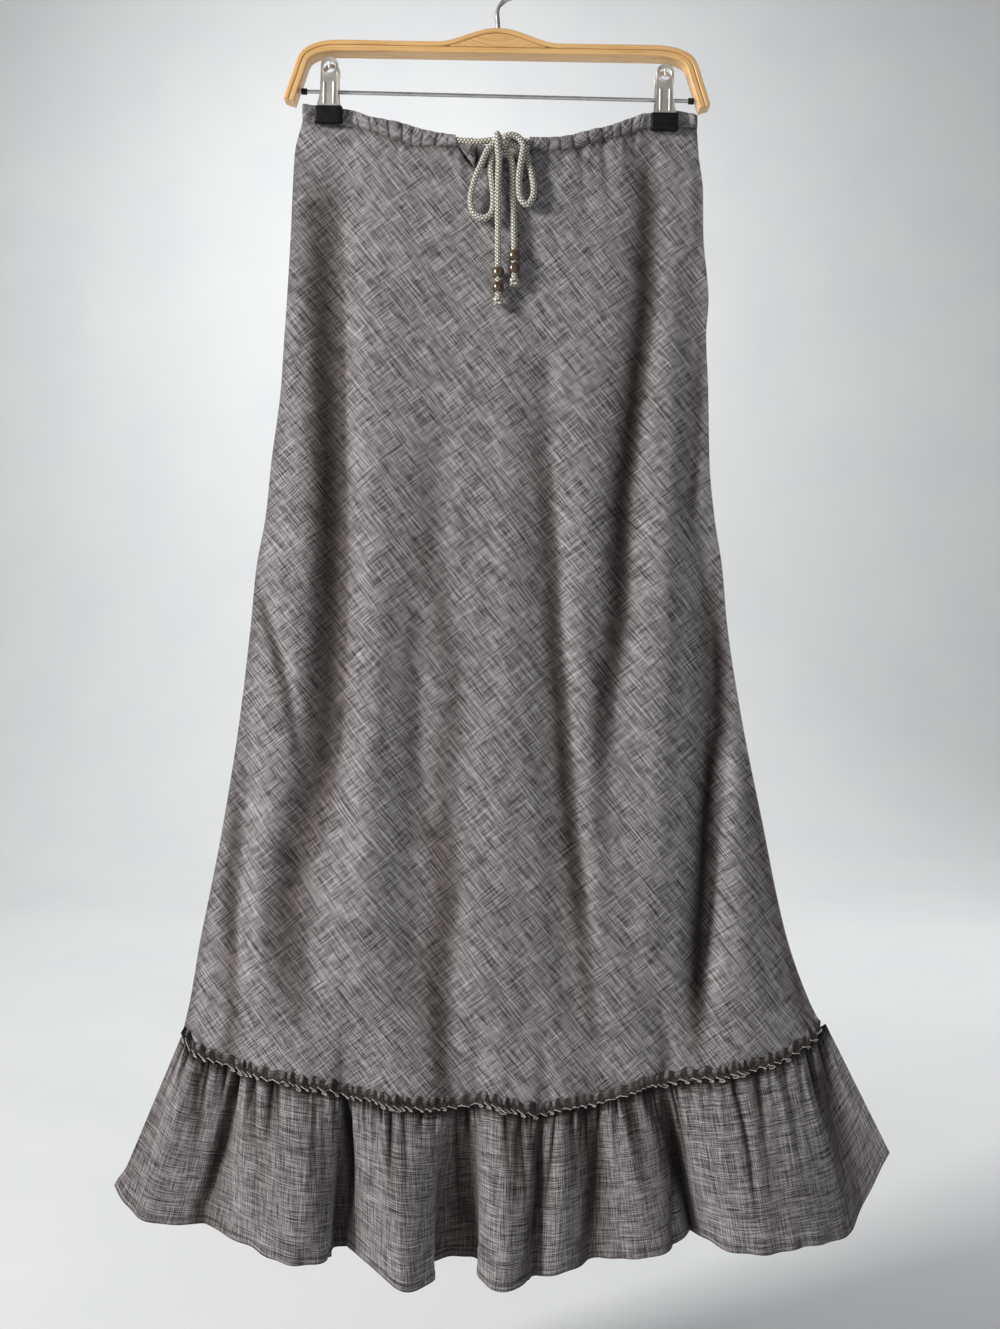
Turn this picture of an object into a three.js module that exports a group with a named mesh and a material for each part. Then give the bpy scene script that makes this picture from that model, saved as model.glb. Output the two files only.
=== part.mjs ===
// A gathered maxi skirt that hangs from a wooden clip hanger.
// Millimetres, +Z up, and the front faces -Y. The origin is the inner crown of the hook.
import * as THREE from "three";

// Cloth walls, and the space that is left where two pieces meet
const PANEL_WALL = 1.5;
const CASING_WALL = 2.4;
const RUFFLE_WALL = 1.5;
const HEADING_WALL = 1.2;
const GAP = 0.3;
const CASING_GAP = 0.8;
const SEAM_GAP = 0.6;
const SIDE_OFFSET = 0.9;

// Mesh steps of the cloth
const PANEL_COLUMNS = 42;
const PANEL_ROWS = 12;
const RUFFLE_ROWS = 3;
const STEPS_PER_FOLD_POINT = 3;
const STEPS_PER_GATHER = 4;

// Gathers of the waist casing and of the frilled heading
const CASING_GATHER = { pitch: 10.6, height: 1.1 };
const HEADING_GATHER = { pitch: 12.4, height: 1.7 };
const HEADING_HEIGHT = 9.5;

// Side seams and the body's depth at each height
const BODY = [
  { z: -138, left: -172, right: 173, front: 5, back: 5 },
  { z: -171, left: -180, right: 175, front: 6, back: 5.5 },
  { z: -205, left: -182, right: 179, front: 6.5, back: 6 },
  { z: -240, left: -183.5, right: 179.2, front: 7, back: 7 },
  { z: -300, left: -187, right: 183.8, front: 8, back: 8 },
  { z: -330, left: -189.1, right: 181.7, front: 9, back: 9 },
  { z: -378, left: -192.3, right: 183.5, front: 11, back: 10 },
  { z: -441, left: -200.5, right: 184.6, front: 13, back: 12 },
  { z: -489, left: -205.5, right: 188.8, front: 14, back: 13 },
  { z: -535, left: -213.8, right: 195.8, front: 15, back: 14 },
  { z: -585, left: -218.7, right: 200.2, front: 17, back: 15 },
  { z: -668, left: -228.5, right: 213, front: 19, back: 17 },
  { z: -767, left: -244.2, right: 232.8, front: 22, back: 19 },
  { z: -823, left: -255.1, right: 243.8, front: 23, back: 20 },
  { z: -865, left: -263.6, right: 254, front: 24, back: 21 },
  { z: -915, left: -272, right: 272, front: 25, back: 22 },
  { z: -945, left: -279, right: 287, front: 25, back: 22 },
];

// Waist: top edge, stitch line under the casing, and distance of the cloth from the middle plane
const WAIST_FRONT = [
  { x: -173, top: -127, stitch: -141, out: 1.4 },
  { x: -154, top: -129.3, stitch: -143.8, out: 1.4 },
  { x: -130, top: -132.4, stitch: -147.2, out: 1.4 },
  { x: -114, top: -139, stitch: -151, out: 3 },
  { x: -89, top: -145.1, stitch: -161, out: 5 },
  { x: -68, top: -151.4, stitch: -166.8, out: 6 },
  { x: -38.2, top: -157.4, stitch: -168, out: 6.6 },
  { x: -30, top: -158, stitch: -179, out: 6.8 },
  { x: -20, top: -158, stitch: -187, out: 7 },
  { x: 6, top: -158, stitch: -186.5, out: 7 },
  { x: 18, top: -159, stitch: -181, out: 6.8 },
  { x: 27, top: -159.2, stitch: -171.6, out: 6.6 },
  { x: 53, top: -158.3, stitch: -170.5, out: 6 },
  { x: 79, top: -152.3, stitch: -164.6, out: 5 },
  { x: 97, top: -147.5, stitch: -159.8, out: 4 },
  { x: 118, top: -139, stitch: -152.5, out: 1.7 },
  { x: 128, top: -135.5, stitch: -148.4, out: 1.4 },
  { x: 154, top: -132.8, stitch: -147, out: 1.4 },
  { x: 173, top: -137, stitch: -148, out: 1.4 },
];
const WAIST_BACK = [
  { x: -173, top: -127, stitch: -141, out: 1.4 },
  { x: -154, top: -129.3, stitch: -143.8, out: 1.4 },
  { x: -130, top: -132.4, stitch: -147.2, out: 1.4 },
  { x: -110, top: -140, stitch: -154, out: 3.2 },
  { x: -70, top: -151, stitch: -165.5, out: 6 },
  { x: 0, top: -160, stitch: -174, out: 8 },
  { x: 70, top: -153, stitch: -167, out: 6 },
  { x: 106, top: -143, stitch: -156.5, out: 3 },
  { x: 128, top: -135.5, stitch: -149, out: 1.4 },
  { x: 154, top: -132.8, stitch: -147, out: 1.4 },
  { x: 173, top: -137, stitch: -148, out: 1.4 },
];
const OPENING = { left: -38.2, right: 26.2 };

// Soft folds of the body: centre line at the top, middle and bottom, rise out of the cloth, half width
const FOLDS_FRONT = [
  { top: -185, bottom: -850, x: [-160, -146, -190], rise: [-3, -9, -7], half: 15 },
  { top: -250, bottom: -990, x: [-116, -107, -122], rise: [2, 6, 5], half: 30 },
  { top: -480, bottom: -1000, x: [-70, -72, -57], rise: [0, -5, -6], half: 22 },
  { top: -560, bottom: -1000, x: [-20, -16, -10], rise: [0, 3, 6], half: 30 },
  { top: -300, bottom: -1000, x: [28, 43, 66], rise: [-2, -5, -6], half: 15 },
  { top: -380, bottom: -1000, x: [76, 84, 92], rise: [1, 4, 3], half: 20 },
  { top: -190, bottom: -800, x: [128, 110, 86], rise: [-2, -5, -3], half: 18 },
  { top: -300, bottom: -900, x: [146, 138, 122], rise: [1, 4, 4], half: 18 },
  { top: -200, bottom: -960, x: [160, 190, 168], rise: [-2, -9, -15], half: 16 },
  { top: -600, bottom: -985, x: [212, 214, 210], rise: [0, 3, 6], half: 18 },
  { top: -660, bottom: -940, x: [-222, -234, -243], rise: [-2, -8, -6], half: 12 },
  { top: -700, bottom: -970, x: [-200, -205, -212], rise: [1, 5, 4], half: 18 },
];
const FOLDS_BACK = [
  { top: -200, bottom: -960, x: [-128, -150, -176], rise: [-2, -8, -11], half: 20 },
  { top: -300, bottom: -990, x: [-90, -98, -120], rise: [1, 5, 6], half: 26 },
  { top: -240, bottom: -1000, x: [-40, -44, -56], rise: [-2, -6, -9], half: 18 },
  { top: -420, bottom: -1000, x: [6, 2, -4], rise: [1, 5, 6], half: 28 },
  { top: -200, bottom: -990, x: [64, 70, 84], rise: [-2, -6, -9], half: 20 },
  { top: -350, bottom: -980, x: [112, 124, 140], rise: [1, 5, 6], half: 26 },
  { top: -230, bottom: -940, x: [146, 168, 206], rise: [-2, -7, -9], half: 18 },
];

// Ruffle, one row for each crest, valley or edge of a fold: where it is at the gather seam and at the hem
const RUFFLE_FRONT = [
  { topX: -279, topOut: 0.9, topZ: -945, hemX: -338.5, hemOut: 0.9, hemZ: -1087 },
  { topX: -265, topOut: 7, topZ: -961, hemX: -304.5, hemOut: 11, hemZ: -1105 },
  { topX: -231, topOut: 10, topZ: -971, hemX: -258, hemOut: 4, hemZ: -1112 },
  { topX: -211, topOut: 17, topZ: -975, hemX: -214, hemOut: 26, hemZ: -1119 },
  { topX: -171, topOut: 22, topZ: -983, hemX: -175, hemOut: 40, hemZ: -1128 },
  { topX: -143, topOut: 21, topZ: -988, hemX: -148.5, hemOut: 28, hemZ: -1130 },
  { topX: -136, topOut: 18, topZ: -991, hemX: -146, hemOut: 4, hemZ: -1130 },
  { topX: -125, topOut: 19, topZ: -993, hemX: -130, hemOut: 10, hemZ: -1129 },
  { topX: -89, topOut: 27, topZ: -998, hemX: -79, hemOut: 48, hemZ: -1145 },
  { topX: -58, topOut: 24, topZ: -1003, hemX: -57, hemOut: 30, hemZ: -1145 },
  { topX: -46, topOut: 19, topZ: -1003, hemX: -59, hemOut: 5, hemZ: -1143 },
  { topX: -23, topOut: 18, topZ: -1001, hemX: -21, hemOut: 4, hemZ: -1141 },
  { topX: -14, topOut: 21, topZ: -999, hemX: -17, hemOut: 30, hemZ: -1145 },
  { topX: 7, topOut: 26, topZ: -1001, hemX: 4, hemOut: 50, hemZ: -1144 },
  { topX: 29, topOut: 26, topZ: -1005, hemX: 26, hemOut: 37, hemZ: -1144 },
  { topX: 36, topOut: 23.5, topZ: -1006, hemX: 29.5, hemOut: 29, hemZ: -1143 },
  { topX: 52, topOut: 25, topZ: -1003, hemX: 48, hemOut: 36, hemZ: -1138 },
  { topX: 82, topOut: 20, topZ: -999, hemX: 85, hemOut: 20, hemZ: -1132 },
  { topX: 110, topOut: 22, topZ: -990, hemX: 132, hemOut: 32, hemZ: -1125 },
  { topX: 134, topOut: 19, topZ: -984, hemX: 158, hemOut: 18, hemZ: -1117 },
  { topX: 144, topOut: 15, topZ: -983, hemX: 168, hemOut: -3, hemZ: -1118 },
  { topX: 153, topOut: 17, topZ: -981, hemX: 177, hemOut: 14, hemZ: -1118 },
  { topX: 189, topOut: 24, topZ: -975, hemX: 210, hemOut: 40, hemZ: -1119 },
  { topX: 229, topOut: 20, topZ: -966, hemX: 255, hemOut: 34, hemZ: -1116 },
  { topX: 266, topOut: 10, topZ: -954, hemX: 304, hemOut: 14, hemZ: -1114 },
  { topX: 277, topOut: 5, topZ: -947, hemX: 319, hemOut: 2, hemZ: -1094 },
  { topX: 287, topOut: 0.9, topZ: -936, hemX: 343, hemOut: 0.9, hemZ: -1049 },
];
const RUFFLE_BACK = [
  { topX: -279, topOut: 0.9, topZ: -945, hemX: -338.5, hemOut: 0.9, hemZ: -1087 },
  { topX: -262, topOut: 6, topZ: -960, hemX: -306, hemOut: 7, hemZ: -1103 },
  { topX: -236, topOut: 11, topZ: -968, hemX: -262, hemOut: 24, hemZ: -1111 },
  { topX: -206, topOut: 13, topZ: -976, hemX: -228, hemOut: 8, hemZ: -1115 },
  { topX: -178, topOut: 18, topZ: -983, hemX: -190, hemOut: 34, hemZ: -1125 },
  { topX: -150, topOut: 16, topZ: -988, hemX: -160, hemOut: 24, hemZ: -1129 },
  { topX: -136, topOut: 15, topZ: -991, hemX: -148, hemOut: 7, hemZ: -1131 },
  { topX: -104, topOut: 20, topZ: -996, hemX: -108, hemOut: 38, hemZ: -1137 },
  { topX: -74, topOut: 17, topZ: -1000, hemX: -78, hemOut: 14, hemZ: -1140 },
  { topX: -42, topOut: 21, topZ: -1002, hemX: -46, hemOut: 36, hemZ: -1143 },
  { topX: -12, topOut: 18, topZ: -1003, hemX: -14, hemOut: 9, hemZ: -1143 },
  { topX: 20, topOut: 22, topZ: -1004, hemX: 22, hemOut: 40, hemZ: -1143 },
  { topX: 48, topOut: 19, topZ: -1002, hemX: 54, hemOut: 24, hemZ: -1140 },
  { topX: 72, topOut: 18, topZ: -1000, hemX: 74, hemOut: 8, hemZ: -1136 },
  { topX: 104, topOut: 20, topZ: -993, hemX: 118, hemOut: 34, hemZ: -1129 },
  { topX: 134, topOut: 17, topZ: -986, hemX: 156, hemOut: 14, hemZ: -1121 },
  { topX: 164, topOut: 19, topZ: -979, hemX: 186, hemOut: 32, hemZ: -1117 },
  { topX: 196, topOut: 15, topZ: -973, hemX: 222, hemOut: 8, hemZ: -1113 },
  { topX: 226, topOut: 15, topZ: -966, hemX: 256, hemOut: 26, hemZ: -1108 },
  { topX: 254, topOut: 9, topZ: -956, hemX: 294, hemOut: 16, hemZ: -1096 },
  { topX: 274, topOut: 4, topZ: -947, hemX: 324, hemOut: 10, hemZ: -1072 },
  { topX: 287, topOut: 0.9, topZ: -936, hemX: 343, hemOut: 0.9, hemZ: -1049 },
];

// Drawstring
const CORD_RADIUS = 2.6;
const CORD_SIDES = 8;
const BOW_KNOT = { centre: [2.7, -14, -166.5], radii: [6.2, 5.6, 5.4] };
const KNOT_GAP = 0.6;
const CORDS = [
  {
    name: "drawstring_lead_left",
    steps: 6,
    points: [[-37.6, -8, -162.4], [-20, -9.6, -164.4]],
    to: [-0.7, 0.6, 0.4],
  },
  {
    name: "drawstring_lead_right",
    steps: 4,
    points: [[25.6, -8, -163.8], [17, -8.6, -162.8]],
    to: [0.5, 0.85, 0.35],
  },
  {
    name: "drawstring_loop_left",
    steps: 26,
    from: [-0.9, -0.35, -0.1],
    points: [
      [-9, -18, -173.5], [-15.3, -17.4, -186], [-21.8, -16.6, -202], [-25, -15.6, -217],
      [-22.4, -15, -228], [-14.6, -15, -233], [-7.6, -15, -229.4], [-5.2, -15.3, -219],
      [-6.4, -15.6, -202], [-7.6, -14.8, -187],
    ],
    to: [-0.45, 0.4, -0.85],
  },
  {
    name: "drawstring_loop_right",
    steps: 27,
    from: [0.75, -0.65, 0.45],
    points: [
      [16.4, -18, -164.6], [20.6, -18, -171], [19.4, -17.8, -181], [17.4, -17.4, -193],
      [16.9, -16.6, -207], [18.8, -16.2, -217.4], [23.6, -15.8, -221.4], [28.4, -15.6, -216.4],
      [29.8, -15.4, -207], [27.6, -14.6, -194], [25, -13, -184], [23.2, -11.9, -176], [19, -11.6, -171.2],
    ],
    to: [0.95, 0.2, -0.35],
  },
  {
    name: "drawstring_tail_left",
    steps: 16,
    from: [-0.3, -0.75, -0.65],
    points: [
      [-0.6, -19.8, -184], [-1, -20.6, -200], [-1.2, -20, -219], [-1.2, -18, -240],
      [-1.2, -16.4, -262], [-1.1, -16.2, -281], [-1.1, -16.2, -300.2],
    ],
  },
  {
    name: "drawstring_tail_right",
    steps: 14,
    from: [0.35, -0.15, -0.95],
    points: [
      [9.9, -14.2, -181], [11.3, -13.7, -194], [11.3, -13.8, -212], [12.2, -14.4, -232],
      [12.7, -15.2, -252], [12.8, -15.4, -268], [12.8, -15.4, -283.2],
    ],
  },
];
const BEAD = { radius: 5.3, bore: 2.95, half: 4.2, flat: 3.7 };
const BEADS = [
  { name: "bead_left_upper", at: [-1.1, -16.2, -280.8] },
  { name: "bead_left_lower", at: [-1.1, -16.2, -293.6] },
  { name: "bead_right_upper", at: [12.8, -15.4, -266] },
  { name: "bead_right_lower", at: [12.8, -15.4, -277] },
];
const STOP_KNOT = { radius: 4.3, squash: 1.05 };
const STOP_KNOTS = [
  { name: "stop_knot_left", at: [-1.1, -16.2, -305.2] },
  { name: "stop_knot_right", at: [12.8, -15.4, -288.2] },
];

// Hanger, in a group that leans a little to the right about the hook's crown
const HANGER_LEAN = 1.0;
const BOW = { straightZ: -80.3, legX: 182.5, legZ: -128.6, depth: 14, outer: 4.2, inner: 5.1 };
const BOW_ARCH = { half: 54, rise: 12.6 };
const BOW_CORNER = { startX: 148, kneeX: 168.6, kneeZ: -89.5 };
const HOOK = { wire: 2, loop: 20, sides: 5, steps: 30 };
const BAR = { radius: 1.7, left: -166.9, right: 167.8, leftZ: -118.8, rightZ: -121.4 };
const BAR_END = { radius: 2.7, length: 5.2 };
const CLIP = { top: 43, width: 15.4, foot: 20.4, thick: 1.8, hole: 5.2, holeDown: 9 };
const CLIP_PLATE_Y = 5.5;
const JAW = { width: 24.4, height: 14.6, face: 2.95, back: 9.2, slack: 0.35 };
const SPRING = { radius: 4.9, bore: 2.1, length: 11 };
const CLIPS = [
  { side: "left", x: -147, jawTop: -134.4 },
  { side: "right", x: 146.8, jawTop: -135.6 },
];

const COLOURS = { linen: 0x77726f, cord: 0xcfc6b2, bead: 0x6b4526, wood: 0xdfb67a, steel: 0xb9b9b9, black: 0x151515 };

const clamp01 = (q) => Math.min(1, Math.max(0, q));
const mix = (a, b, q) => a + (b - a) * q;
const smooth = (a, b, q) => {
  const t = clamp01((q - a) / (b - a));
  return t * t * (3 - 2 * t);
};

// A smooth curve without overshoot through one column of a table, over another column.
function curveOf(rows, key, value) {
  const sorted = [...rows].sort((a, b) => a[key] - b[key]);
  const xs = sorted.map((row) => row[key]);
  const ys = sorted.map((row) => row[value]);
  const last = xs.length - 1;
  const slopes = xs.slice(1).map((x, i) => (ys[i + 1] - ys[i]) / (x - xs[i]));
  const tangents = xs.map((_, i) => {
    if (i === 0 || i === last) return slopes[Math.min(i, last - 1)];
    if (slopes[i - 1] * slopes[i] <= 0) return 0;
    return (2 * slopes[i - 1] * slopes[i]) / (slopes[i - 1] + slopes[i]);
  });
  return (x) => {
    if (x <= xs[0]) return ys[0];
    if (x >= xs[last]) return ys[last];
    const i = xs.findIndex((right) => right >= x) - 1;
    const h = xs[i + 1] - xs[i];
    const t = (x - xs[i]) / h;
    const near = (1 + 2 * t) * (1 - t) * (1 - t) * ys[i] + t * (1 - t) * (1 - t) * h * tangents[i];
    const far = t * t * (3 - 2 * t) * ys[i + 1] - t * t * (1 - t) * h * tangents[i + 1];
    return near + far;
  };
}

// Points and normals of the surface point(u, v), row by row.
function surfaceGrid(columns, rows, point) {
  const step = 1e-3;
  const points = [];
  const normals = [];
  for (let j = 0; j <= rows; j++) {
    for (let i = 0; i <= columns; i++) {
      const u = i / columns;
      const v = j / rows;
      const along = point(clamp01(u + step), v).sub(point(clamp01(u - step), v));
      const down = point(u, clamp01(v + step)).sub(point(u, clamp01(v - step)));
      points.push(point(u, v));
      normals.push(along.cross(down).normalize());
    }
  }
  return { columns, rows, points, normals };
}

// A wall of even thickness about a grid's surface, closed all round.
function wallGeometry({ columns, rows, points, normals }, wall) {
  const outer = points.map((p, i) => p.clone().addScaledVector(normals[i], wall / 2));
  const inner = points.map((p, i) => p.clone().addScaledVector(normals[i], -wall / 2));
  const at = (i, j) => j * (columns + 1) + i;
  const far = outer.length;
  const faces = [];
  for (let j = 0; j < rows; j++) {
    for (let i = 0; i < columns; i++) {
      const [a, b, c, d] = [at(i, j), at(i + 1, j), at(i, j + 1), at(i + 1, j + 1)];
      faces.push(a, b, c, b, d, c);
      faces.push(far + a, far + c, far + b, far + b, far + c, far + d);
    }
  }
  const rim = [];
  for (let i = 0; i < columns; i++) rim.push([at(i, 0), at(i + 1, 0)], [at(i + 1, rows), at(i, rows)]);
  for (let j = 0; j < rows; j++) rim.push([at(columns, j), at(columns, j + 1)], [at(0, j + 1), at(0, j)]);
  for (const [p, q] of rim) faces.push(q, p, far + p, q, far + p, far + q);
  const geometry = new THREE.BufferGeometry().setFromPoints([...outer, ...inner]);
  geometry.setIndex(faces);
  geometry.computeVertexNormals();
  return geometry;
}

// A place on a grid's own flat faces, moved off them by a distance along the wall's thickness.
function placeOn({ columns, rows, points, normals }, u, v, distance) {
  const i = Math.min(columns - 1, Math.floor(u * columns));
  const j = Math.min(rows - 1, Math.floor(v * rows));
  const fu = u * columns - i;
  const fv = v * rows - j;
  const a = j * (columns + 1) + i;
  const corners = [a, a + 1, a + columns + 1, a + columns + 2];
  const upper = fu + fv <= 1;
  const shares = upper ? [1 - fu - fv, fu, fv, 0] : [0, 1 - fv, 1 - fu, fu + fv - 1];
  const place = new THREE.Vector3();
  corners.forEach((corner, k) => {
    place.addScaledVector(points[corner], shares[k]).addScaledVector(normals[corner], shares[k] * distance);
  });
  return place;
}

const paints = Object.fromEntries(
  Object.entries(COLOURS).map(([name, color]) => [name, new THREE.MeshStandardMaterial({ color })]),
);
const part = new THREE.Group();

function addMesh(group, name, geometry, paint) {
  const mesh = new THREE.Mesh(geometry, paints[paint]);
  mesh.name = name;
  group.add(mesh);
  return mesh;
}

// Body panels
const leftSeam = curveOf(BODY, "z", "left");
const rightSeam = curveOf(BODY, "z", "right");

// How far the folds lift the cloth at a place on a panel.
function foldLift(folds, x, z) {
  let lift = 0;
  for (const fold of folds) {
    const q = (fold.top - z) / (fold.top - fold.bottom);
    const fade = smooth(-0.12, 0.12, q) * (1 - smooth(0.9, 1.12, q));
    const t = clamp01(q);
    const along = (three) =>
      (1 - t) * (1 - 2 * t) * three[0] + 4 * t * (1 - t) * three[1] + t * (2 * t - 1) * three[2];
    const away = (x - along(fold.x)) / fold.half;
    lift += fade * along(fold.rise) * Math.exp(-away * away);
  }
  return lift;
}

// The middle surface of one side of the skirt's body. Facing is -1 in front and 1 behind.
function bodySide(facing, waist, folds, ruffle, depthColumn) {
  const stitch = curveOf(waist, "x", "stitch");
  const waistOut = curveOf(waist, "x", "out");
  const depth = curveOf(BODY, "z", depthColumn);
  const seamZ = curveOf(ruffle, "topX", "topZ");
  const seamOut = curveOf(ruffle, "topX", "topOut");
  const across = (z, u) => mix(leftSeam(z), rightSeam(z), u);
  return (u, v) => {
    let topZ = stitch(across(-150, u));
    topZ = stitch(across(topZ, u));
    const endX = across(-950, u);
    const z = mix(topZ, seamZ(endX) + GAP, v);
    const x = across(z, u);
    const side = 2 * u - 1;
    const round = 1 - side ** 4;
    const edge = 1 - side ** 10;
    const loose = SIDE_OFFSET + depth(z) * round + edge * foldLift(folds, x, z);
    const hung = mix(waistOut(x), Math.max(SIDE_OFFSET, loose), smooth(0, 0.13, v));
    const out = mix(hung, seamOut(x), smooth(0.84, 1, v));
    return new THREE.Vector3(x, facing * out, z);
  };
}

const frontBody = bodySide(-1, WAIST_FRONT, FOLDS_FRONT, RUFFLE_FRONT, "front");
const backBody = bodySide(1, WAIST_BACK, FOLDS_BACK, RUFFLE_BACK, "back");
const frontGrid = surfaceGrid(PANEL_COLUMNS, PANEL_ROWS, frontBody);
const backGrid = surfaceGrid(PANEL_COLUMNS, PANEL_ROWS, backBody);
addMesh(part, "front_panel", wallGeometry(frontGrid, PANEL_WALL), "linen");
addMesh(part, "back_panel", wallGeometry(backGrid, PANEL_WALL), "linen");

// Waist casing: a gathered band over each panel's top edge, flat where a clip pinches it
function pinch(x) {
  const nearest = Math.min(...CLIPS.map((clip) => Math.abs(x - clip.x)));
  return smooth(JAW.width / 2 + 2, JAW.width / 2 + 14, nearest);
}

function addCasing(name, facing, waist, fromX, toX) {
  const top = curveOf(waist, "x", "top");
  const stitch = curveOf(waist, "x", "stitch");
  const waistOut = curveOf(waist, "x", "out");
  const bottom = curveOf(waist.filter((row) => row.x <= OPENING.left || row.x >= OPENING.right), "x", "stitch");
  const gathers = Math.round((toX - fromX) / CASING_GATHER.pitch);
  const point = (u, v) => {
    const x = mix(fromX, toX, u);
    const low = (facing < 0 ? bottom(x) : stitch(x)) + CASING_GAP;
    const wave = 0.5 - 0.5 * Math.cos(2 * Math.PI * gathers * u);
    const bulge = Math.sin(Math.PI * clamp01(v));
    const out = waistOut(x) + pinch(x) * bulge * (0.9 + CASING_GATHER.height * wave);
    return new THREE.Vector3(x, facing * out, mix(top(x) + 0.7 * pinch(x) * wave, low, v));
  };
  const grid = surfaceGrid(gathers * STEPS_PER_GATHER, 2, point);
  addMesh(part, name, wallGeometry(grid, CASING_WALL), "linen");
}

addCasing("casing_front_left", -1, WAIST_FRONT, -172.6, OPENING.left);
addCasing("casing_front_right", -1, WAIST_FRONT, OPENING.right, 173.2);
addCasing("casing_back", 1, WAIST_BACK, -172.6, 173.2);

// Ruffle: smooth lines through the fold tables at the gather seam and at the hem
function addRuffle(name, facing, folds) {
  const line = (x, out, z) =>
    new THREE.CatmullRomCurve3(
      folds.map((fold) => new THREE.Vector3(fold[x], facing * fold[out], fold[z])),
      false,
      "centripetal",
    );
  const seam = line("topX", "topOut", "topZ");
  const hem = line("hemX", "hemOut", "hemZ");
  const point = (u, v) => {
    const high = seam.getPoint(u);
    const low = hem.getPoint(u);
    const open = 1 - (1 - v) ** 1.35;
    const z = mix(high.z - SEAM_GAP, low.z, v);
    return new THREE.Vector3(mix(high.x, low.x, v), mix(high.y, low.y, open), z);
  };
  const grid = surfaceGrid((folds.length - 1) * STEPS_PER_FOLD_POINT, RUFFLE_ROWS, point);
  addMesh(part, name, wallGeometry(grid, RUFFLE_WALL), "linen");
}

addRuffle("ruffle_front", -1, RUFFLE_FRONT);
addRuffle("ruffle_back", 1, RUFFLE_BACK);

// Heading: the frill above the gather seam, made from the panel's points and moved out in waves
function addHeading(name, panel, outSign) {
  const { columns, rows, points } = panel;
  const foot = points.slice(-columns - 1);
  const seamLength = foot.slice(1).reduce((sum, p, i) => sum + p.distanceTo(foot[i]), 0);
  const waves = Math.round(seamLength / HEADING_GATHER.pitch);
  const panelHeight = (u) => points[Math.round(u * columns)].z - points[Math.round(u * columns) + rows * (columns + 1)].z;
  const point = (u, v) => {
    const wave = 0.5 - 0.5 * Math.cos(2 * Math.PI * waves * u);
    const ripple = 0.5 + 0.5 * Math.sin(23 * u + 3 * Math.sin(11 * u));
    const rise = (1 - v) * (HEADING_HEIGHT - 2 * ripple - wave) + GAP;
    const clear = PANEL_WALL / 2 + GAP + HEADING_WALL / 2;
    const away = clear + HEADING_GATHER.height * wave * mix(2, 0.9, v);
    return placeOn(panel, u, 1 - rise / panelHeight(u), outSign * away);
  };
  addMesh(part, name, wallGeometry(surfaceGrid(waves * STEPS_PER_GATHER, 1, point), HEADING_WALL), "linen");
}

addHeading("heading_front", frontGrid, -1);
addHeading("heading_back", backGrid, 1);

// Drawstring: plain round tubes that meet the bow's knot just clear of it
function offKnot(direction, distance) {
  const ray = new THREE.Vector3(...direction).normalize();
  const [rx, ry, rz] = BOW_KNOT.radii;
  const surface = 1 / Math.hypot(ray.x / rx, ray.y / ry, ray.z / rz);
  return new THREE.Vector3(...BOW_KNOT.centre).addScaledVector(ray, surface + distance);
}

function addCord({ name, steps, points, from, to }) {
  const path = points.map((point) => new THREE.Vector3(...point));
  if (from) path.unshift(offKnot(from, KNOT_GAP), offKnot(from, KNOT_GAP + 1.5));
  if (to) path.push(offKnot(to, KNOT_GAP + 1.5), offKnot(to, KNOT_GAP));
  const section = new THREE.Shape();
  for (let i = 0; i < CORD_SIDES; i++) {
    const angle = (2 * Math.PI * i) / CORD_SIDES;
    const place = [CORD_RADIUS * Math.cos(angle), CORD_RADIUS * Math.sin(angle)];
    if (i === 0) section.moveTo(...place);
    else section.lineTo(...place);
  }
  const extrudePath = new THREE.CatmullRomCurve3(path, false, "centripetal");
  addMesh(part, name, new THREE.ExtrudeGeometry(section, { steps, extrudePath }), "cord");
}

CORDS.forEach(addCord);

const bowKnot = addMesh(part, "bow_knot", new THREE.SphereGeometry(1, 12, 8), "cord");
bowKnot.scale.set(...BOW_KNOT.radii);
bowKnot.position.set(...BOW_KNOT.centre);

const beadProfile = [
  new THREE.Vector2(BEAD.bore, -BEAD.half),
  new THREE.Vector2(BEAD.flat, -BEAD.half),
  new THREE.Vector2(BEAD.radius * 0.93, -BEAD.half * 0.5),
  new THREE.Vector2(BEAD.radius, 0),
  new THREE.Vector2(BEAD.radius * 0.93, BEAD.half * 0.5),
  new THREE.Vector2(BEAD.flat, BEAD.half),
  new THREE.Vector2(BEAD.bore, BEAD.half),
  new THREE.Vector2(BEAD.bore, -BEAD.half),
];
for (const { name, at } of BEADS) {
  const bead = addMesh(part, name, new THREE.LatheGeometry(beadProfile, 14), "bead");
  bead.rotation.x = Math.PI / 2;
  bead.position.set(...at);
}
for (const { name, at } of STOP_KNOTS) {
  const knot = addMesh(part, name, new THREE.SphereGeometry(STOP_KNOT.radius, 10, 7), "cord");
  knot.scale.z = STOP_KNOT.squash;
  knot.position.set(...at);
}

// Hanger
const hanger = new THREE.Group();
hanger.rotation.y = THREE.MathUtils.degToRad(HANGER_LEAN);
part.add(hanger);

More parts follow.
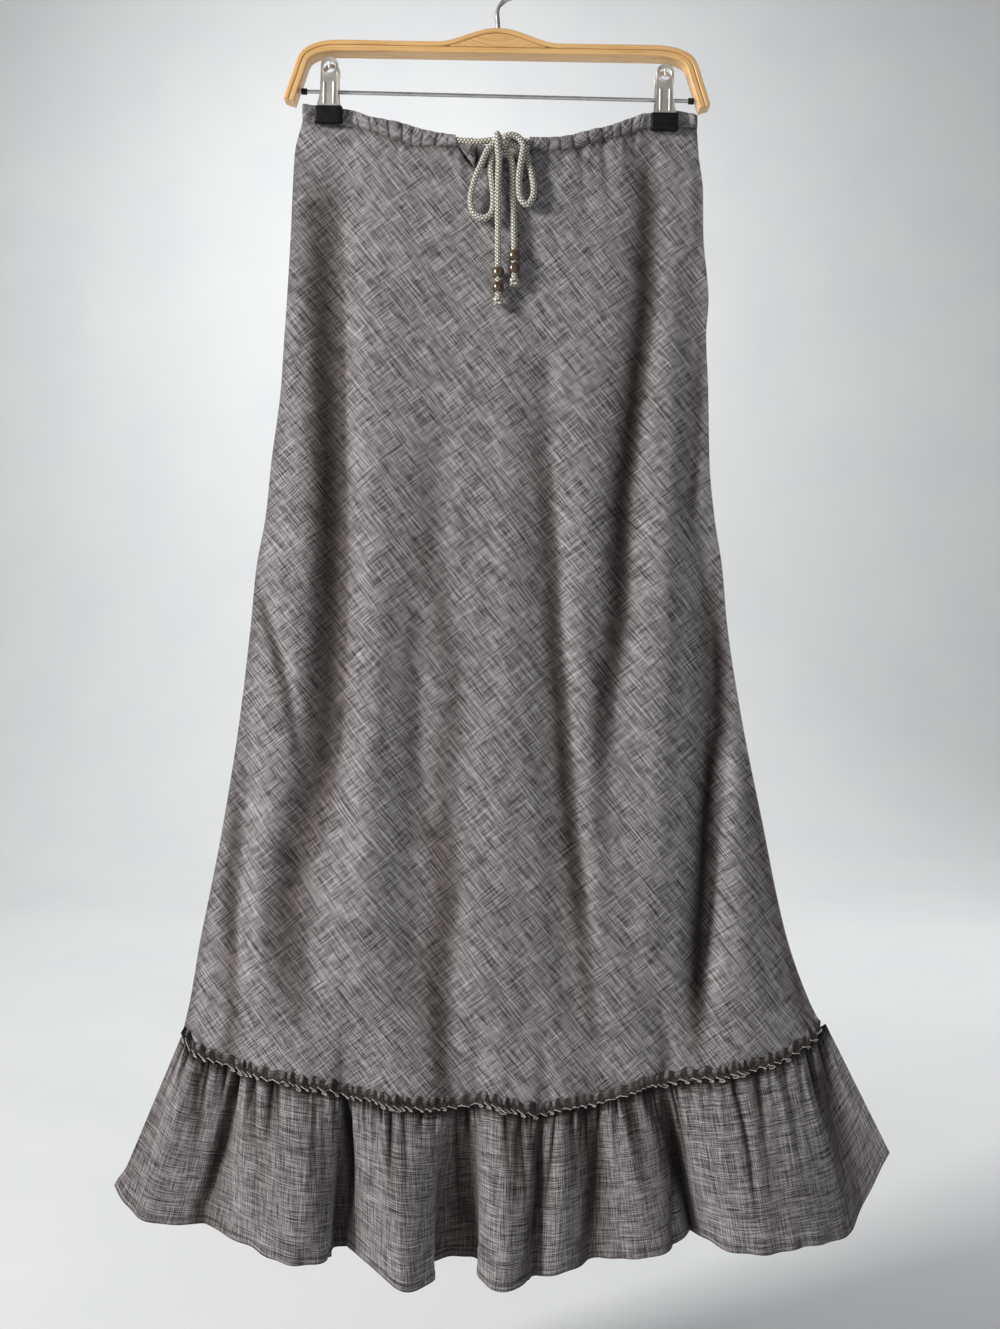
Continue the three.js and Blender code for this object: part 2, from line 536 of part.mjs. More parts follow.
// The glue line of the bent bow, from one end to the other.
function bowLine(steps) {
  const half = new THREE.CatmullRomCurve3([
    new THREE.Vector3(BOW_CORNER.startX - 40, 0, BOW.straightZ),
    new THREE.Vector3(BOW_CORNER.startX - 14, 0, BOW.straightZ),
    new THREE.Vector3(BOW_CORNER.startX, 0, BOW.straightZ - 0.6),
    new THREE.Vector3(BOW_CORNER.kneeX - 8.6, 0, BOW.straightZ - 3.6),
    new THREE.Vector3(BOW_CORNER.kneeX, 0, BOW_CORNER.kneeZ),
    new THREE.Vector3(mix(BOW_CORNER.kneeX, BOW.legX, 0.5), 0, -107.5),
    new THREE.Vector3(BOW.legX, 0, BOW.legZ),
  ]);
  const right = half.getPoints(steps);
  return [...right.map((p) => new THREE.Vector2(-p.x, p.z)).reverse(), ...right.map((p) => new THREE.Vector2(p.x, p.z))];
}

// The bow's line with the raised arch in the middle.
function archLine() {
  const points = bowLine(14);
  const middle = [];
  const steps = 18;
  for (let i = 0; i <= steps; i++) {
    const x = mix(-BOW_ARCH.half, BOW_ARCH.half, i / steps);
    middle.push(new THREE.Vector2(x, BOW.straightZ + archRise(x)));
  }
  const cut = points.length / 2;
  return [...points.slice(0, cut), ...middle, ...points.slice(cut)];
}

function archRise(x) {
  return Math.abs(x) >= BOW_ARCH.half ? 0 : (BOW_ARCH.rise * (1 + Math.cos((Math.PI * x) / BOW_ARCH.half))) / 2;
}

// Moves each point of a line sideways, to the left of its run.
function offsetLine(line, distance) {
  return line.map((point, i) => {
    const before = line[Math.max(0, i - 1)];
    const after = line[Math.min(line.length - 1, i + 1)];
    const run = after.clone().sub(before).normalize();
    return new THREE.Vector2(point.x - run.y * distance, point.y + run.x * distance);
  });
}

// A strip between two lines, cut through the bow's depth.
function addStrip(name, upper, lower, depth) {
  const shape = new THREE.Shape([...upper, ...[...lower].reverse()]);
  const strip = addMesh(hanger, name, new THREE.ExtrudeGeometry(shape, { depth, bevelEnabled: false }), "wood");
  strip.rotation.x = Math.PI / 2;
  strip.position.y = depth / 2;
  return strip;
}

addStrip("bow_outer", offsetLine(archLine(), BOW.outer + GAP / 2), offsetLine(archLine(), GAP / 2), BOW.depth);
addStrip("bow_inner", offsetLine(bowLine(14), -GAP / 2), offsetLine(bowLine(14), -BOW.inner - GAP / 2), BOW.depth);

const blockTop = [];
for (let i = 0; i <= 16; i++) {
  const x = mix(-BOW_ARCH.half + 12, BOW_ARCH.half - 12, i / 16);
  blockTop.push(new THREE.Vector2(x, BOW.straightZ + archRise(x) - GAP / 2 - GAP));
}
const blockFoot = [
  new THREE.Vector2(-BOW_ARCH.half + 12, BOW.straightZ + GAP / 2),
  new THREE.Vector2(BOW_ARCH.half - 12, BOW.straightZ + GAP / 2),
];
addStrip("bow_block", blockTop, blockFoot, BOW.depth);

const hookFoot = BOW.straightZ + BOW_ARCH.rise + BOW.outer + GAP / 2 + GAP;
const loopZ = HOOK.wire - HOOK.loop;
const hookPoints = [
  new THREE.Vector3(0, 0, hookFoot),
  new THREE.Vector3(-0.6, 0, hookFoot + 9),
  new THREE.Vector3(-0.9, 0, hookFoot + 17),
  new THREE.Vector3(4.4, 0, -36.4),
];
for (let i = 0; i <= 13; i++) {
  const angle = THREE.MathUtils.degToRad(mix(-42, 196, i / 13));
  hookPoints.push(new THREE.Vector3(HOOK.loop * Math.cos(angle), 0, loopZ + HOOK.loop * Math.sin(angle)));
}
const wire = new THREE.Shape();
wire.absarc(0, 0, HOOK.wire, 0, 2 * Math.PI);
const hookPath = new THREE.CatmullRomCurve3(hookPoints, false, "centripetal");
const hookOptions = { steps: HOOK.steps, extrudePath: hookPath, curveSegments: HOOK.sides };
addMesh(hanger, "hook", new THREE.ExtrudeGeometry(wire, hookOptions), "steel");

// Bar and its two plugs, held between the bow's ends
const barMiddle = new THREE.Vector3((BAR.left + BAR.right) / 2, 0, (BAR.leftZ + BAR.rightZ) / 2);
const barRun = new THREE.Vector3(BAR.right - BAR.left, 0, BAR.rightZ - BAR.leftZ);
const barTurn = new THREE.Quaternion().setFromUnitVectors(new THREE.Vector3(0, 1, 0), barRun.clone().normalize());
function addBarPiece(name, radius, length, along, paint) {
  const piece = addMesh(hanger, name, new THREE.CylinderGeometry(radius, radius, length, 12), paint);
  piece.quaternion.copy(barTurn);
  piece.position.copy(barMiddle).addScaledVector(barRun.clone().normalize(), along);
}
const barLength = barRun.length();
const plugAlong = barLength / 2 + BAR_END.length / 2 + GAP;
addBarPiece("bar", BAR.radius, barLength, 0, "steel");
addBarPiece("bar_end_left", BAR_END.radius, BAR_END.length, -plugAlong, "black");
addBarPiece("bar_end_right", BAR_END.radius, BAR_END.length, plugAlong, "black");

// Clips: two plates over a spring sleeve on the bar, and a jaw at the foot of each plate
function plateShape() {
  const round = CLIP.width / 2;
  const foot = CLIP.foot / 2;
  const shape = new THREE.Shape();
  shape.moveTo(-foot, 0);
  shape.lineTo(foot, 0);
  shape.lineTo(round, 14);
  shape.lineTo(round, CLIP.top - round);
  shape.absarc(0, CLIP.top - round, round, 0, Math.PI, false);
  shape.lineTo(-round, 14);
  const hole = new THREE.Path();
  hole.absarc(0, CLIP.top - CLIP.holeDown, CLIP.hole, 0, 2 * Math.PI, true);
  shape.holes.push(hole);
  return shape;
}

function addClip({ side, x, jawTop }) {
  const barZ = barMiddle.z + ((x - barMiddle.x) * barRun.z) / barRun.x;
  for (const [face, facing] of [["front", -1], ["back", 1]]) {
    const geometry = new THREE.ExtrudeGeometry(plateShape(), { depth: CLIP.thick, bevelEnabled: false, curveSegments: 8 });
    const plate = addMesh(hanger, `clip_${side}_plate_${face}`, geometry, "steel");
    plate.rotation.x = Math.PI / 2;
    plate.position.set(x, facing < 0 ? -CLIP_PLATE_Y : CLIP_PLATE_Y + CLIP.thick, jawTop + GAP);
    const thick = JAW.back - JAW.face;
    const jaw = addMesh(hanger, `clip_${side}_jaw_${face}`, new THREE.BoxGeometry(JAW.width, thick, JAW.height), "black");
    jaw.position.set(x, facing * (JAW.face + thick / 2), jawTop - JAW.height / 2);
  }
  const sleeve = [
    new THREE.Vector2(SPRING.bore, -SPRING.length / 2),
    new THREE.Vector2(SPRING.radius, -SPRING.length / 2),
    new THREE.Vector2(SPRING.radius, SPRING.length / 2),
    new THREE.Vector2(SPRING.bore, SPRING.length / 2),
    new THREE.Vector2(SPRING.bore, -SPRING.length / 2),
  ];
  const spring = addMesh(hanger, `clip_${side}_spring`, new THREE.LatheGeometry(sleeve, 16), "steel");
  spring.quaternion.copy(barTurn);
  spring.position.set(x, 0, barZ);
}

CLIPS.forEach(addClip);

export default part;
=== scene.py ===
"""A gathered maxi skirt with a drawstring waist, hung by two clips from a wooden hanger.

The tables are the part's own, in millimetres. Every mesh is made in metres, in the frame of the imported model.
"""

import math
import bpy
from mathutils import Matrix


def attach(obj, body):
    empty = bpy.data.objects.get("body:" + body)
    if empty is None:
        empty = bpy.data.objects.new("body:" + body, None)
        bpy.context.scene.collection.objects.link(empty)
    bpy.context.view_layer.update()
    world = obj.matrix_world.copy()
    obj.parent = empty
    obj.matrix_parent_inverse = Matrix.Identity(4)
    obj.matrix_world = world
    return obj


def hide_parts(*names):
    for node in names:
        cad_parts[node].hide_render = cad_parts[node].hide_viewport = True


bl_info = {
    "name": "Maxi skirt on a clip hanger",
    "version": (1, 0, 0),
    "blender": (4, 5, 0),
    "location": "3D View > Sidebar > Skirt",
    "description": "Builds a gathered linen skirt, its drawstring and the hanger that holds it",
    "category": "Add Mesh",
}

from collections import namedtuple

import bmesh
import bpy
import numpy as np
from mathutils import Vector

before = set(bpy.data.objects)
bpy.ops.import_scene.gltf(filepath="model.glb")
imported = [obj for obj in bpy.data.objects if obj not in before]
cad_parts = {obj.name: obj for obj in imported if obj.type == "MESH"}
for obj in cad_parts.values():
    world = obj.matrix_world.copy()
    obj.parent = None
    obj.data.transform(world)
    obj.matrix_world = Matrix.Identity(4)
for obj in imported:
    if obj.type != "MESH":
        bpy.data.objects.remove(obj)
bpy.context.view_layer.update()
MM = 0.001

# The photograph's frame and viewpoint
CAMERA_PLACE = (0.00044, -1.0, -0.620)
CAMERA_LENS = 30.78

# Cloth walls, side seams, the heights where the body's width is read, and the hem's stitches
CLOTH_WALL = 0.6
HEM_WALL = 1.5
OPENING_WALL = 1.5
HEADING_WALL = 0.5
SIDE_OFFSET = 0.9
SIDE_MEETING = 0.33
SEAM_GAP = 0.3
WAIST_LEVEL = -150
SEAM_LEVEL = -950
HEM_STITCHES_UP = 4.9
HEM_TURNED_UP = 5.6
STITCH_THICKNESS = 0.0007

# Lights: place, target, size in metres, power in watts and colour
LIGHTS = {
    "key": ((-2.25, -1.25, 0.45), (0, 0, -0.6), 0.45, 92, (1.0, 0.985, 0.96)),
    "fill": ((0.9, -2.4, -0.4), (0, 0, -0.6), 1.2, 5, (0.95, 0.97, 1.0)),
    "rear": ((2.5, 1.9, 0.5), (0, 0, -0.6), 0.9, 26, (1.0, 1.0, 1.0)),
    "backdrop": ((-0.6, 1.5, 1.7), (0, 4.2, 0.4), 1.6, 62, (1.0, 1.0, 1.0)),
}
SKY = {"colour": (0.93, 0.95, 1.0, 1), "strength": 0.17}
STUDIO = {"floor": -1.36, "wall": 4.2, "bend": 1.6, "front": -7.0, "half": 9.0, "top": 7.0}

# The weave's threads: which way they run, length and width in metres, detail, shift and share of the
# pattern; then where cloth coordinates start, in millimetres, and the threads' own starts, in metres
THREADS = (
    ("warp", 0.045, 0.0006, 1.5, 3.1, 0.24), ("warp", 0.013, 0.0004, 1.0, 11.7, 0.25),
    ("weft", 0.034, 0.0006, 1.5, 23.3, 0.2), ("weft", 0.011, 0.0004, 1.0, 31.9, 0.2),
)
WEAVE_START = 400
THREAD_STEP = 0.0014
THREAD_SLIDE = 0.035

# Small gathers: how many, height, half width and how far each may run, in millimetres
WAIST_GATHERS = {"count": 44, "span": (-172, 173), "height": 1.35, "half": 2.6, "reach": (12, 75)}
SEAM_PUCKERS = {"count": 62, "span": (-280, 287), "height": 1.1, "half": 2.8, "reach": (5, 26)}
RUFFLE_PLEATS = {"count": 120, "half": 2.7, "reach": (14, 118)}
RUFFLE_TUCKS = {"count": 60, "half": 1.9, "reach": (14, 70)}

# How fine the casing and the heading are, and how many pleats and curls are drawn for them
CASING_AROUND = 30
CASING_STEP = 0.85
CASING_PLEATS = 60
HEADING_COLUMNS = 1100
HEADING_CURLS = 190


def table(columns, rows):
    """A table of numbers with named columns."""
    return dict(zip(columns.split(), np.array(rows, float).T))


# Side seams and the body's depth at each height
BODY = table("z left right front back", [
    (-138, -172, 173, 5, 5), (-171, -180, 175, 6, 5.5), (-205, -182, 179, 6.5, 6),
    (-240, -183.5, 179.2, 7, 7), (-300, -187, 183.8, 8, 8), (-330, -189.1, 181.7, 9, 9),
    (-378, -192.3, 183.5, 11, 10), (-441, -200.5, 184.6, 13, 12), (-489, -205.5, 188.8, 14, 13),
    (-535, -213.8, 195.8, 15, 14), (-585, -218.7, 200.2, 17, 15), (-668, -228.5, 213, 19, 17),
    (-767, -244.2, 232.8, 22, 19), (-823, -255.1, 243.8, 23, 20), (-865, -263.6, 254, 24, 21),
    (-915, -272, 272, 25, 22), (-945, -279, 287, 25, 22),
])

# Waist: top edge, stitch line under the casing, and distance of the cloth from the middle plane
WAIST_FRONT = table("x top stitch out", [
    (-173, -127, -141, 1.4), (-154, -129.3, -143.8, 1.4), (-130, -132.4, -147.2, 1.4),
    (-114, -139, -151, 3), (-89, -145.1, -161, 5), (-68, -151.4, -166.8, 6), (-38.2, -157.4, -168, 6.6),
    (-30, -158, -179, 6.8), (-20, -158, -187, 7), (6, -158, -186.5, 7), (18, -159, -181, 6.8),
    (27, -159.2, -171.6, 6.6), (53, -158.3, -170.5, 6), (79, -152.3, -164.6, 5), (97, -147.5, -159.8, 4),
    (118, -139, -152.5, 1.7), (128, -135.5, -148.4, 1.4), (154, -132.8, -147, 1.4), (173, -137, -148, 1.4),
])
WAIST_BACK = table("x top stitch out", [
    (-173, -127, -141, 1.4), (-154, -129.3, -143.8, 1.4), (-130, -132.4, -147.2, 1.4),
    (-110, -140, -154, 3.2), (-70, -151, -165.5, 6), (0, -160, -174, 8), (70, -153, -167, 6),
    (106, -143, -156.5, 3), (128, -135.5, -149, 1.4), (154, -132.8, -147, 1.4), (173, -137, -148, 1.4),
])
OPENING = (-38.2, 26.2)

# Soft folds: centre line at the top, middle and bottom, rise out of the cloth at each, half width
FOLD_COLUMNS = "top bottom x0 x1 x2 rise0 rise1 rise2 half"
FOLDS_FRONT = table(FOLD_COLUMNS, [
    (-185, -850, -160, -146, -190, -3, -9, -7, 15), (-250, -990, -116, -107, -122, 2, 6, 5, 30),
    (-480, -1000, -70, -72, -57, 0, -5, -6, 22), (-560, -1000, -20, -16, -10, 0, 3, 6, 30),
    (-300, -1000, 28, 43, 66, -2, -5, -6, 15), (-380, -1000, 76, 84, 92, 1, 4, 3, 20),
    (-190, -800, 128, 110, 86, -2, -5, -3, 18), (-300, -900, 146, 138, 122, 1, 4, 4, 18),
    (-200, -960, 160, 190, 168, -2, -9, -15, 16), (-600, -985, 212, 214, 210, 0, 3, 6, 18),
    (-660, -940, -222, -234, -243, -2, -8, -6, 12), (-700, -970, -200, -205, -212, 1, 5, 4, 18),
])
FOLDS_BACK = table(FOLD_COLUMNS, [
    (-200, -960, -128, -150, -176, -2, -8, -11, 20), (-300, -990, -90, -98, -120, 1, 5, 6, 26),
    (-240, -1000, -40, -44, -56, -2, -6, -9, 18), (-420, -1000, 6, 2, -4, 1, 5, 6, 28),
    (-200, -990, 64, 70, 84, -2, -6, -9, 20), (-350, -980, 112, 124, 140, 1, 5, 6, 26),
    (-230, -940, 146, 168, 206, -2, -7, -9, 18),
])

# Creases seen on the cloth: half width on the left and on the right, how round the bottom is,
# and the line as places with the depth there
CREASES_FRONT = [
    (23, 15, 1.5, [
        (-141, -174, 0), (-142, -217, 4), (-142, -286, 6), (-139, -347, 6.4), (-136, -430, 6.8),
        (-134, -495, 7), (-134, -573, 7), (-137, -668, 7), (-143, -716, 6.2), (-152, -764, 4.4),
        (-165, -811, 4), (-167, -859, 4.4), (-163, -907, 3), (-159, -955, 0),
    ]),
    (6, 9, 1.2, [(-212, -545, 0), (-201, -585, 4.5), (-184, -643, 4.2), (-170, -720, 0)]),
    (8, 11, 1.2, [
        (-225, -703, 0), (-228, -764, 3.8), (-233, -811, 4), (-231, -859, 3.8), (-229, -907, 3.8),
        (-234, -968, 2.5),
    ]),
    (18, 18, 4, [
        (-52, -391, 0), (-52, -477, 2), (-52, -525, 3), (-43, -573, 2.6), (-33, -642, 2.8), (-36, -716, 3),
        (-38, -764, 3.8), (-36, -811, 4.4), (-41, -859, 5), (-43, -907, 5.4), (-41, -972, 3),
    ]),
    (10, 12, 3, [(-71, -529, 0), (-70, -599, 1.5), (-69, -703, 1.8), (-55, -781, 1.5), (-52, -824, 0)]),
    (12, 12, 1.4, [
        (44, -330, 0), (42, -382, 2.2), (43, -430, 3.2), (46, -477, 4.4), (50, -529, 5.4), (53, -599, 6),
        (59, -668, 6.6), (62, -716, 7), (67, -764, 6.6), (72, -811, 6.6), (77, -859, 4.8), (82, -907, 3.6),
        (87, -963, 1),
    ]),
    (14, 13, 2, [
        (132, -165, 2), (136, -217, 5.5), (135, -286, 6.8), (131, -334, 7), (125, -382, 7.2),
        (120, -430, 7), (114, -477, 6.6), (112, -525, 6.4), (111, -573, 5.6), (103, -621, 4.6),
        (98, -677, 2.4), (96, -720, 0),
    ]),
    (6, 9, 1.5, [
        (177, -174, 1), (177, -239, 3.2), (171, -286, 1.2), (179, -334, 2.6), (179, -382, 3.2),
        (178, -430, 2.6), (171, -477, 2.6), (169, -516, 0),
    ]),
    (11, 10, 1.5, [
        (189, -529, 0), (193, -573, 5), (198, -621, 8), (198, -668, 10), (191, -716, 10.5),
        (186, -764, 10.5), (183, -811, 10.5), (179, -859, 9.5), (177, -911, 6.5), (174, -959, 1.5),
    ]),
    (7, 8, 1.5, [
        (219, -694, 0), (232, -764, 3.2), (242, -811, 3.4), (254, -859, 3), (267, -907, 4), (275, -950, 1),
    ]),
    (3.5, 5, 0.8, [(-168, -326, 0), (-175, -347, 1.8), (-185, -363, 0)]),
    (3.5, 5, 0.8, [(-175, -366, 0), (-181, -382, 1.6), (-186, -394, 0)]),
    (4, 4, 1, [(-151, -278, 0), (-157, -313, -1.5), (-166, -347, 0)]),
    (10, 12, 3, [
        (77, -512, 0), (80, -582, 1.4), (92, -651, 1.8), (92, -738, 2), (96, -824, 1.6), (92, -911, 0),
    ]),
    (5, 7, 1.2, [(-95, -599, 0), (-98, -668, 0.9), (-93, -738, 0)]),
    (16, 16, 5, [
        (-111, -391, 0), (-107, -564, -2.6), (-112, -703, -2.8), (-116, -824, -1.6), (-111, -946, -1),
    ]),
    (14, 14, 5, [(6, -425, 0), (6, -564, -1.8), (2, -703, -2), (7, -824, -1.4), (7, -911, 0)]),
    (12, 14, 4, [
        (150, -304, 0), (150, -417, -2), (146, -564, -2.4), (143, -703, -2), (139, -824, -1),
        (136, -877, 0),
    ]),
]
CREASES_BACK = [
    (10, 14, 1.5, [
        (-148, -170, 0), (-152, -260, 4), (-156, -400, 5), (-164, -560, 4.5), (-178, -760, 3),
        (-184, -880, 0),
    ]),
    (9, 12, 2, [
        (-44, -190, 0), (-42, -320, 3.5), (-44, -480, 4), (-50, -700, 4.5), (-58, -900, 3), (-60, -990, 0),
    ]),
    (10, 13, 2, [(68, -190, 0), (69, -330, 4), (72, -520, 5), (80, -740, 4.5), (88, -930, 2), (90, -985, 0)]),
    (9, 12, 1.5, [
        (154, -175, 1), (166, -300, 4), (180, -460, 5), (196, -660, 6), (210, -830, 5), (220, -930, 1),
    ]),
    (3.5, 5, 0.8, [(-172, -330, 0), (-180, -350, 1.5), (-188, -372, 0)]),
    (3.5, 5, 0.8, [(164, -250, 0), (171, -282, 1.5), (176, -320, 0)]),
    (9, 10, 2.5, [(20, -330, 0), (14, -430, 1.8), (2, -560, 0)]),
    (8, 9, 2.5, [(-98, -240, 0), (-92, -310, 1.4), (-90, -390, 0)]),
    (12, 12, 3, [(118, -680, 0), (128, -800, 2.2), (142, -930, 1.5), (146, -970, 0)]),
    (12, 12, 3, [(-118, -720, 0), (-128, -850, 2.2), (-140, -960, 1)]),
]
CREASES_RUFFLE = [
    (7, 6, 1, [(-225, -963, 3), (-232, -1000, 6), (-239, -1035, 7), (-249, -1069, 6), (-259, -1099, 3)]),
    (2, 2.6, 0.5, [(-211, -971, 2.6), (-216, -996, 3), (-220, -1026, 0)]),
    (7, 5, 1.5, [(-165, -975, 2.5), (-160, -1000, 3.5), (-158, -1035, 2), (-155, -1069, 0)]),
    (3.5, 3, 0.6, [
        (-135, -983, 4), (-130, -1017, 7), (-128, -1052, 7.5), (-129, -1081, 6), (-135, -1116, 3),
    ]),
    (14, 8, 2, [(-27, -995, 1.5), (-27, -1040, 2.8), (-26, -1090, 3), (-25, -1130, 2)]),
    (6, 4, 1, [(35, -990, 4), (35, -1026, 5), (35, -1060, 5.5), (31, -1094, 5.5), (26, -1130, 4)]),
    (9, 8, 2, [(74, -985, 4), (82, -1017, 5.5), (85, -1052, 6), (83, -1086, 6), (77, -1120, 4)]),
    (5, 4.5, 0.8, [(138, -982, 4), (144, -1013, 7), (150, -1043, 8), (154, -1069, 7.5), (151, -1103, 5)]),
    (3, 4, 0.8, [(204, -976, 3.4), (209, -1009, 4), (214, -1043, 4), (217, -1077, 1.5), (219, -1094, 0)]),
    (8, 8, 2, [(287, -949, 4), (289, -992, 5), (296, -1035, 4), (304, -1086, 2)]),
    (3, 3, 0.8, [(-264, -970, 2), (-263, -992, 2), (-266, -1026, 0)]),
    (2.5, 3, 0.6, [(-81, -985, 2), (-78, -1013, 2), (-76, -1043, 0)]),
    (3, 3, 0.6, [(110, -988, 1.8), (113, -1009, 1.4), (115, -1035, 0)]),
    (4, 4, 1, [(245, -975, 1.6), (255, -1009, 1.5), (258, -1052, 0)]),
]
CREASES_RUFFLE_BACK = [
    (7, 6, 1, [(-224, -970, 3), (-234, -1020, 5), (-242, -1090, 4)]),
    (4, 3.5, 0.8, [(-136, -992, 4), (-142, -1040, 6), (-148, -1115, 4)]),
    (6, 5, 1, [(-74, -1002, 3), (-76, -1050, 5), (-78, -1125, 4)]),
    (5, 5, 1, [(-12, -1004, 3), (-13, -1060, 5), (-14, -1130, 4)]),
    (5, 4.5, 0.8, [(72, -1001, 4), (73, -1060, 6), (74, -1124, 4)]),
    (6, 6, 1, [(134, -988, 3), (146, -1050, 5), (156, -1110, 4)]),
    (7, 6, 1, [(196, -975, 3), (210, -1040, 5), (222, -1100, 3)]),
]

# Ruffle: one row for each crest, valley or edge of a fold, at the gather seam and at the hem
RUFFLE_COLUMNS = "topX topOut topZ hemX hemOut hemZ"
RUFFLE_FRONT = table(RUFFLE_COLUMNS, [
    (-279, 0.9, -945, -338.5, 0.9, -1087), (-265, 7, -961, -304.5, 11, -1105),
    (-231, 10, -971, -258, 4, -1112), (-211, 17, -975, -214, 26, -1119), (-171, 22, -983, -175, 40, -1128),
    (-143, 21, -988, -148.5, 28, -1130), (-136, 18, -991, -146, 4, -1130),
    (-125, 19, -993, -130, 10, -1129), (-89, 27, -998, -79, 48, -1145), (-58, 24, -1003, -57, 30, -1145),
    (-46, 19, -1003, -59, 5, -1143), (-23, 18, -1001, -21, 4, -1141), (-14, 21, -999, -17, 30, -1145),
    (7, 26, -1001, 4, 50, -1144), (29, 26, -1005, 26, 37, -1144), (36, 23.5, -1006, 29.5, 29, -1143),
    (52, 25, -1003, 48, 36, -1138), (82, 20, -999, 85, 20, -1132), (110, 22, -990, 132, 32, -1125),
    (134, 19, -984, 158, 18, -1117), (144, 15, -983, 168, -3, -1118), (153, 17, -981, 177, 14, -1118),
    (189, 24, -975, 210, 40, -1119), (229, 20, -966, 255, 34, -1116), (266, 10, -954, 304, 14, -1114),
    (277, 5, -947, 319, 2, -1094), (287, 0.9, -936, 343, 0.9, -1049),
])
RUFFLE_BACK = table(RUFFLE_COLUMNS, [
    (-279, 0.9, -945, -338.5, 0.9, -1087), (-262, 6, -960, -306, 7, -1103),
    (-236, 11, -968, -262, 24, -1111), (-206, 13, -976, -228, 8, -1115), (-178, 18, -983, -190, 34, -1125),
    (-150, 16, -988, -160, 24, -1129), (-136, 15, -991, -148, 7, -1131), (-104, 20, -996, -108, 38, -1137),
    (-74, 17, -1000, -78, 14, -1140), (-42, 21, -1002, -46, 36, -1143), (-12, 18, -1003, -14, 9, -1143),
    (20, 22, -1004, 22, 40, -1143), (48, 19, -1002, 54, 24, -1140), (72, 18, -1000, 74, 8, -1136),
    (104, 20, -993, 118, 34, -1129), (134, 17, -986, 156, 14, -1121), (164, 19, -979, 186, 32, -1117),
    (196, 15, -973, 222, 8, -1113), (226, 15, -966, 256, 26, -1108), (254, 9, -956, 294, 16, -1096),
    (274, 4, -947, 324, 10, -1072), (287, 0.9, -936, 343, 0.9, -1049),
])

# Each side of the skirt, with its tables and how fine its meshes are
Side = namedtuple("Side", (
    "name", "facing", "waist", "folds", "creases", "seed", "columns", "rows",
    "ruffle", "ruffle_creases", "ruffle_columns", "ruffle_rows", "ruffle_seed",
))
SIDES = (
    Side("front", -1, WAIST_FRONT, FOLDS_FRONT, CREASES_FRONT, 11, 176, 250,
         RUFFLE_FRONT, CREASES_RUFFLE, 660, 62, 31),
    Side("back", 1, WAIST_BACK, FOLDS_BACK, CREASES_BACK, 12, 140, 190,
         RUFFLE_BACK, CREASES_RUFFLE_BACK, 520, 50, 32),
)

# Drawstring: the part's own points, from the casing's mouth through the knot to the tip
CORD_RADIUS = 2.6
CORD_STEP = 0.62
BRAID_PITCH = 12.0
BRAID_AROUND = 28
BOW_KNOT = (2.7, -14, -166.5)
LEFT_CORD = {
    "mouth": [(-45, -7.7, -161.9), (-41, -7.9, -162.2), (-37.6, -8, -162.4), (-20, -9.6, -164.4)],
    "turn": [
        (-8, -10.2, -163.6), (0, -10.5, -162.9), (5.6, -12.2, -163.4), (6.6, -15.2, -165.4),
        (2.6, -17.2, -167.6), (-3.6, -17.8, -169.6),
    ],
    "loop": [
        (-9, -18, -173.5), (-15.3, -17.4, -186), (-21.8, -16.6, -202), (-25, -15.6, -217),
        (-22.4, -15, -228), (-14.6, -15, -233), (-7.6, -15, -229.4), (-5.2, -15.3, -219),
        (-6.4, -15.6, -202), (-7.6, -14.8, -187),
    ],
    "cross": [
        (-5.4, -13.6, -176), (-3.6, -12.6, -169), (-2.2, -12.8, -164), (-1.8, -15.6, -161.2),
        (-2.0, -19, -162.4), (-1.8, -20.8, -168), (-1.2, -20.6, -176),
    ],
    "tail": [
        (-0.6, -19.8, -184), (-1, -20.6, -200), (-1.2, -20, -219), (-1.2, -18, -240), (-1.2, -16.4, -262),
        (-1.1, -16.2, -281), (-1.1, -16.2, -303.4),
    ],
    "stands_for": ("drawstring_lead_left", "drawstring_loop_left", "drawstring_tail_left"),
    "beads": ("bead_left_upper", "bead_left_lower"),
    "stop": "stop_knot_left",
}
RIGHT_CORD = {
    "mouth": [(33, -7.8, -164.7), (29, -7.9, -164.4), (25.6, -8, -163.8), (17, -8.6, -162.8)],
    "turn": [
        (9, -9.4, -161.8), (2, -10.6, -162), (-3, -13, -163.8), (-2.4, -16.4, -165.6), (3.4, -18.2, -164.6),
        (10, -18.6, -162.6),
    ],
    "loop": [
        (16.4, -18, -164.6), (20.6, -18, -171), (19.4, -17.8, -181), (17.4, -17.4, -193),
        (16.9, -16.6, -207), (18.8, -16.2, -217.4), (23.6, -15.8, -221.4), (28.4, -15.6, -216.4),
        (29.8, -15.4, -207), (27.6, -14.6, -194), (25, -13, -184), (23.2, -11.9, -176), (19, -11.6, -171.2),
    ],
    "cross": [
        (12.8, -11.6, -168.4), (8, -11.9, -167), (4.4, -13, -168.4), (4.2, -13.9, -172.4),
        (7.4, -14.3, -177),
    ],
    "tail": [
        (9.9, -14.2, -181), (11.3, -13.7, -194), (11.3, -13.8, -212), (12.2, -14.4, -232),
        (12.7, -15.2, -252), (12.8, -15.4, -268), (12.8, -15.4, -286.4),
    ],
    "stands_for": ("drawstring_lead_right", "drawstring_loop_right", "drawstring_tail_right"),
    "beads": ("bead_right_upper", "bead_right_lower"),
    "stop": "stop_knot_right",
}
BEAD = {"radius": 5.3, "bore": 2.95, "half": 4.2, "flat": 3.7}
BEAD_AROUND = 40
BEADS = {
    "bead_left_upper": (-1.1, -16.2, -280.8),
    "bead_left_lower": (-1.1, -16.2, -293.6),
    "bead_right_upper": (12.8, -15.4, -266),
    "bead_right_lower": (12.8, -15.4, -277),
}
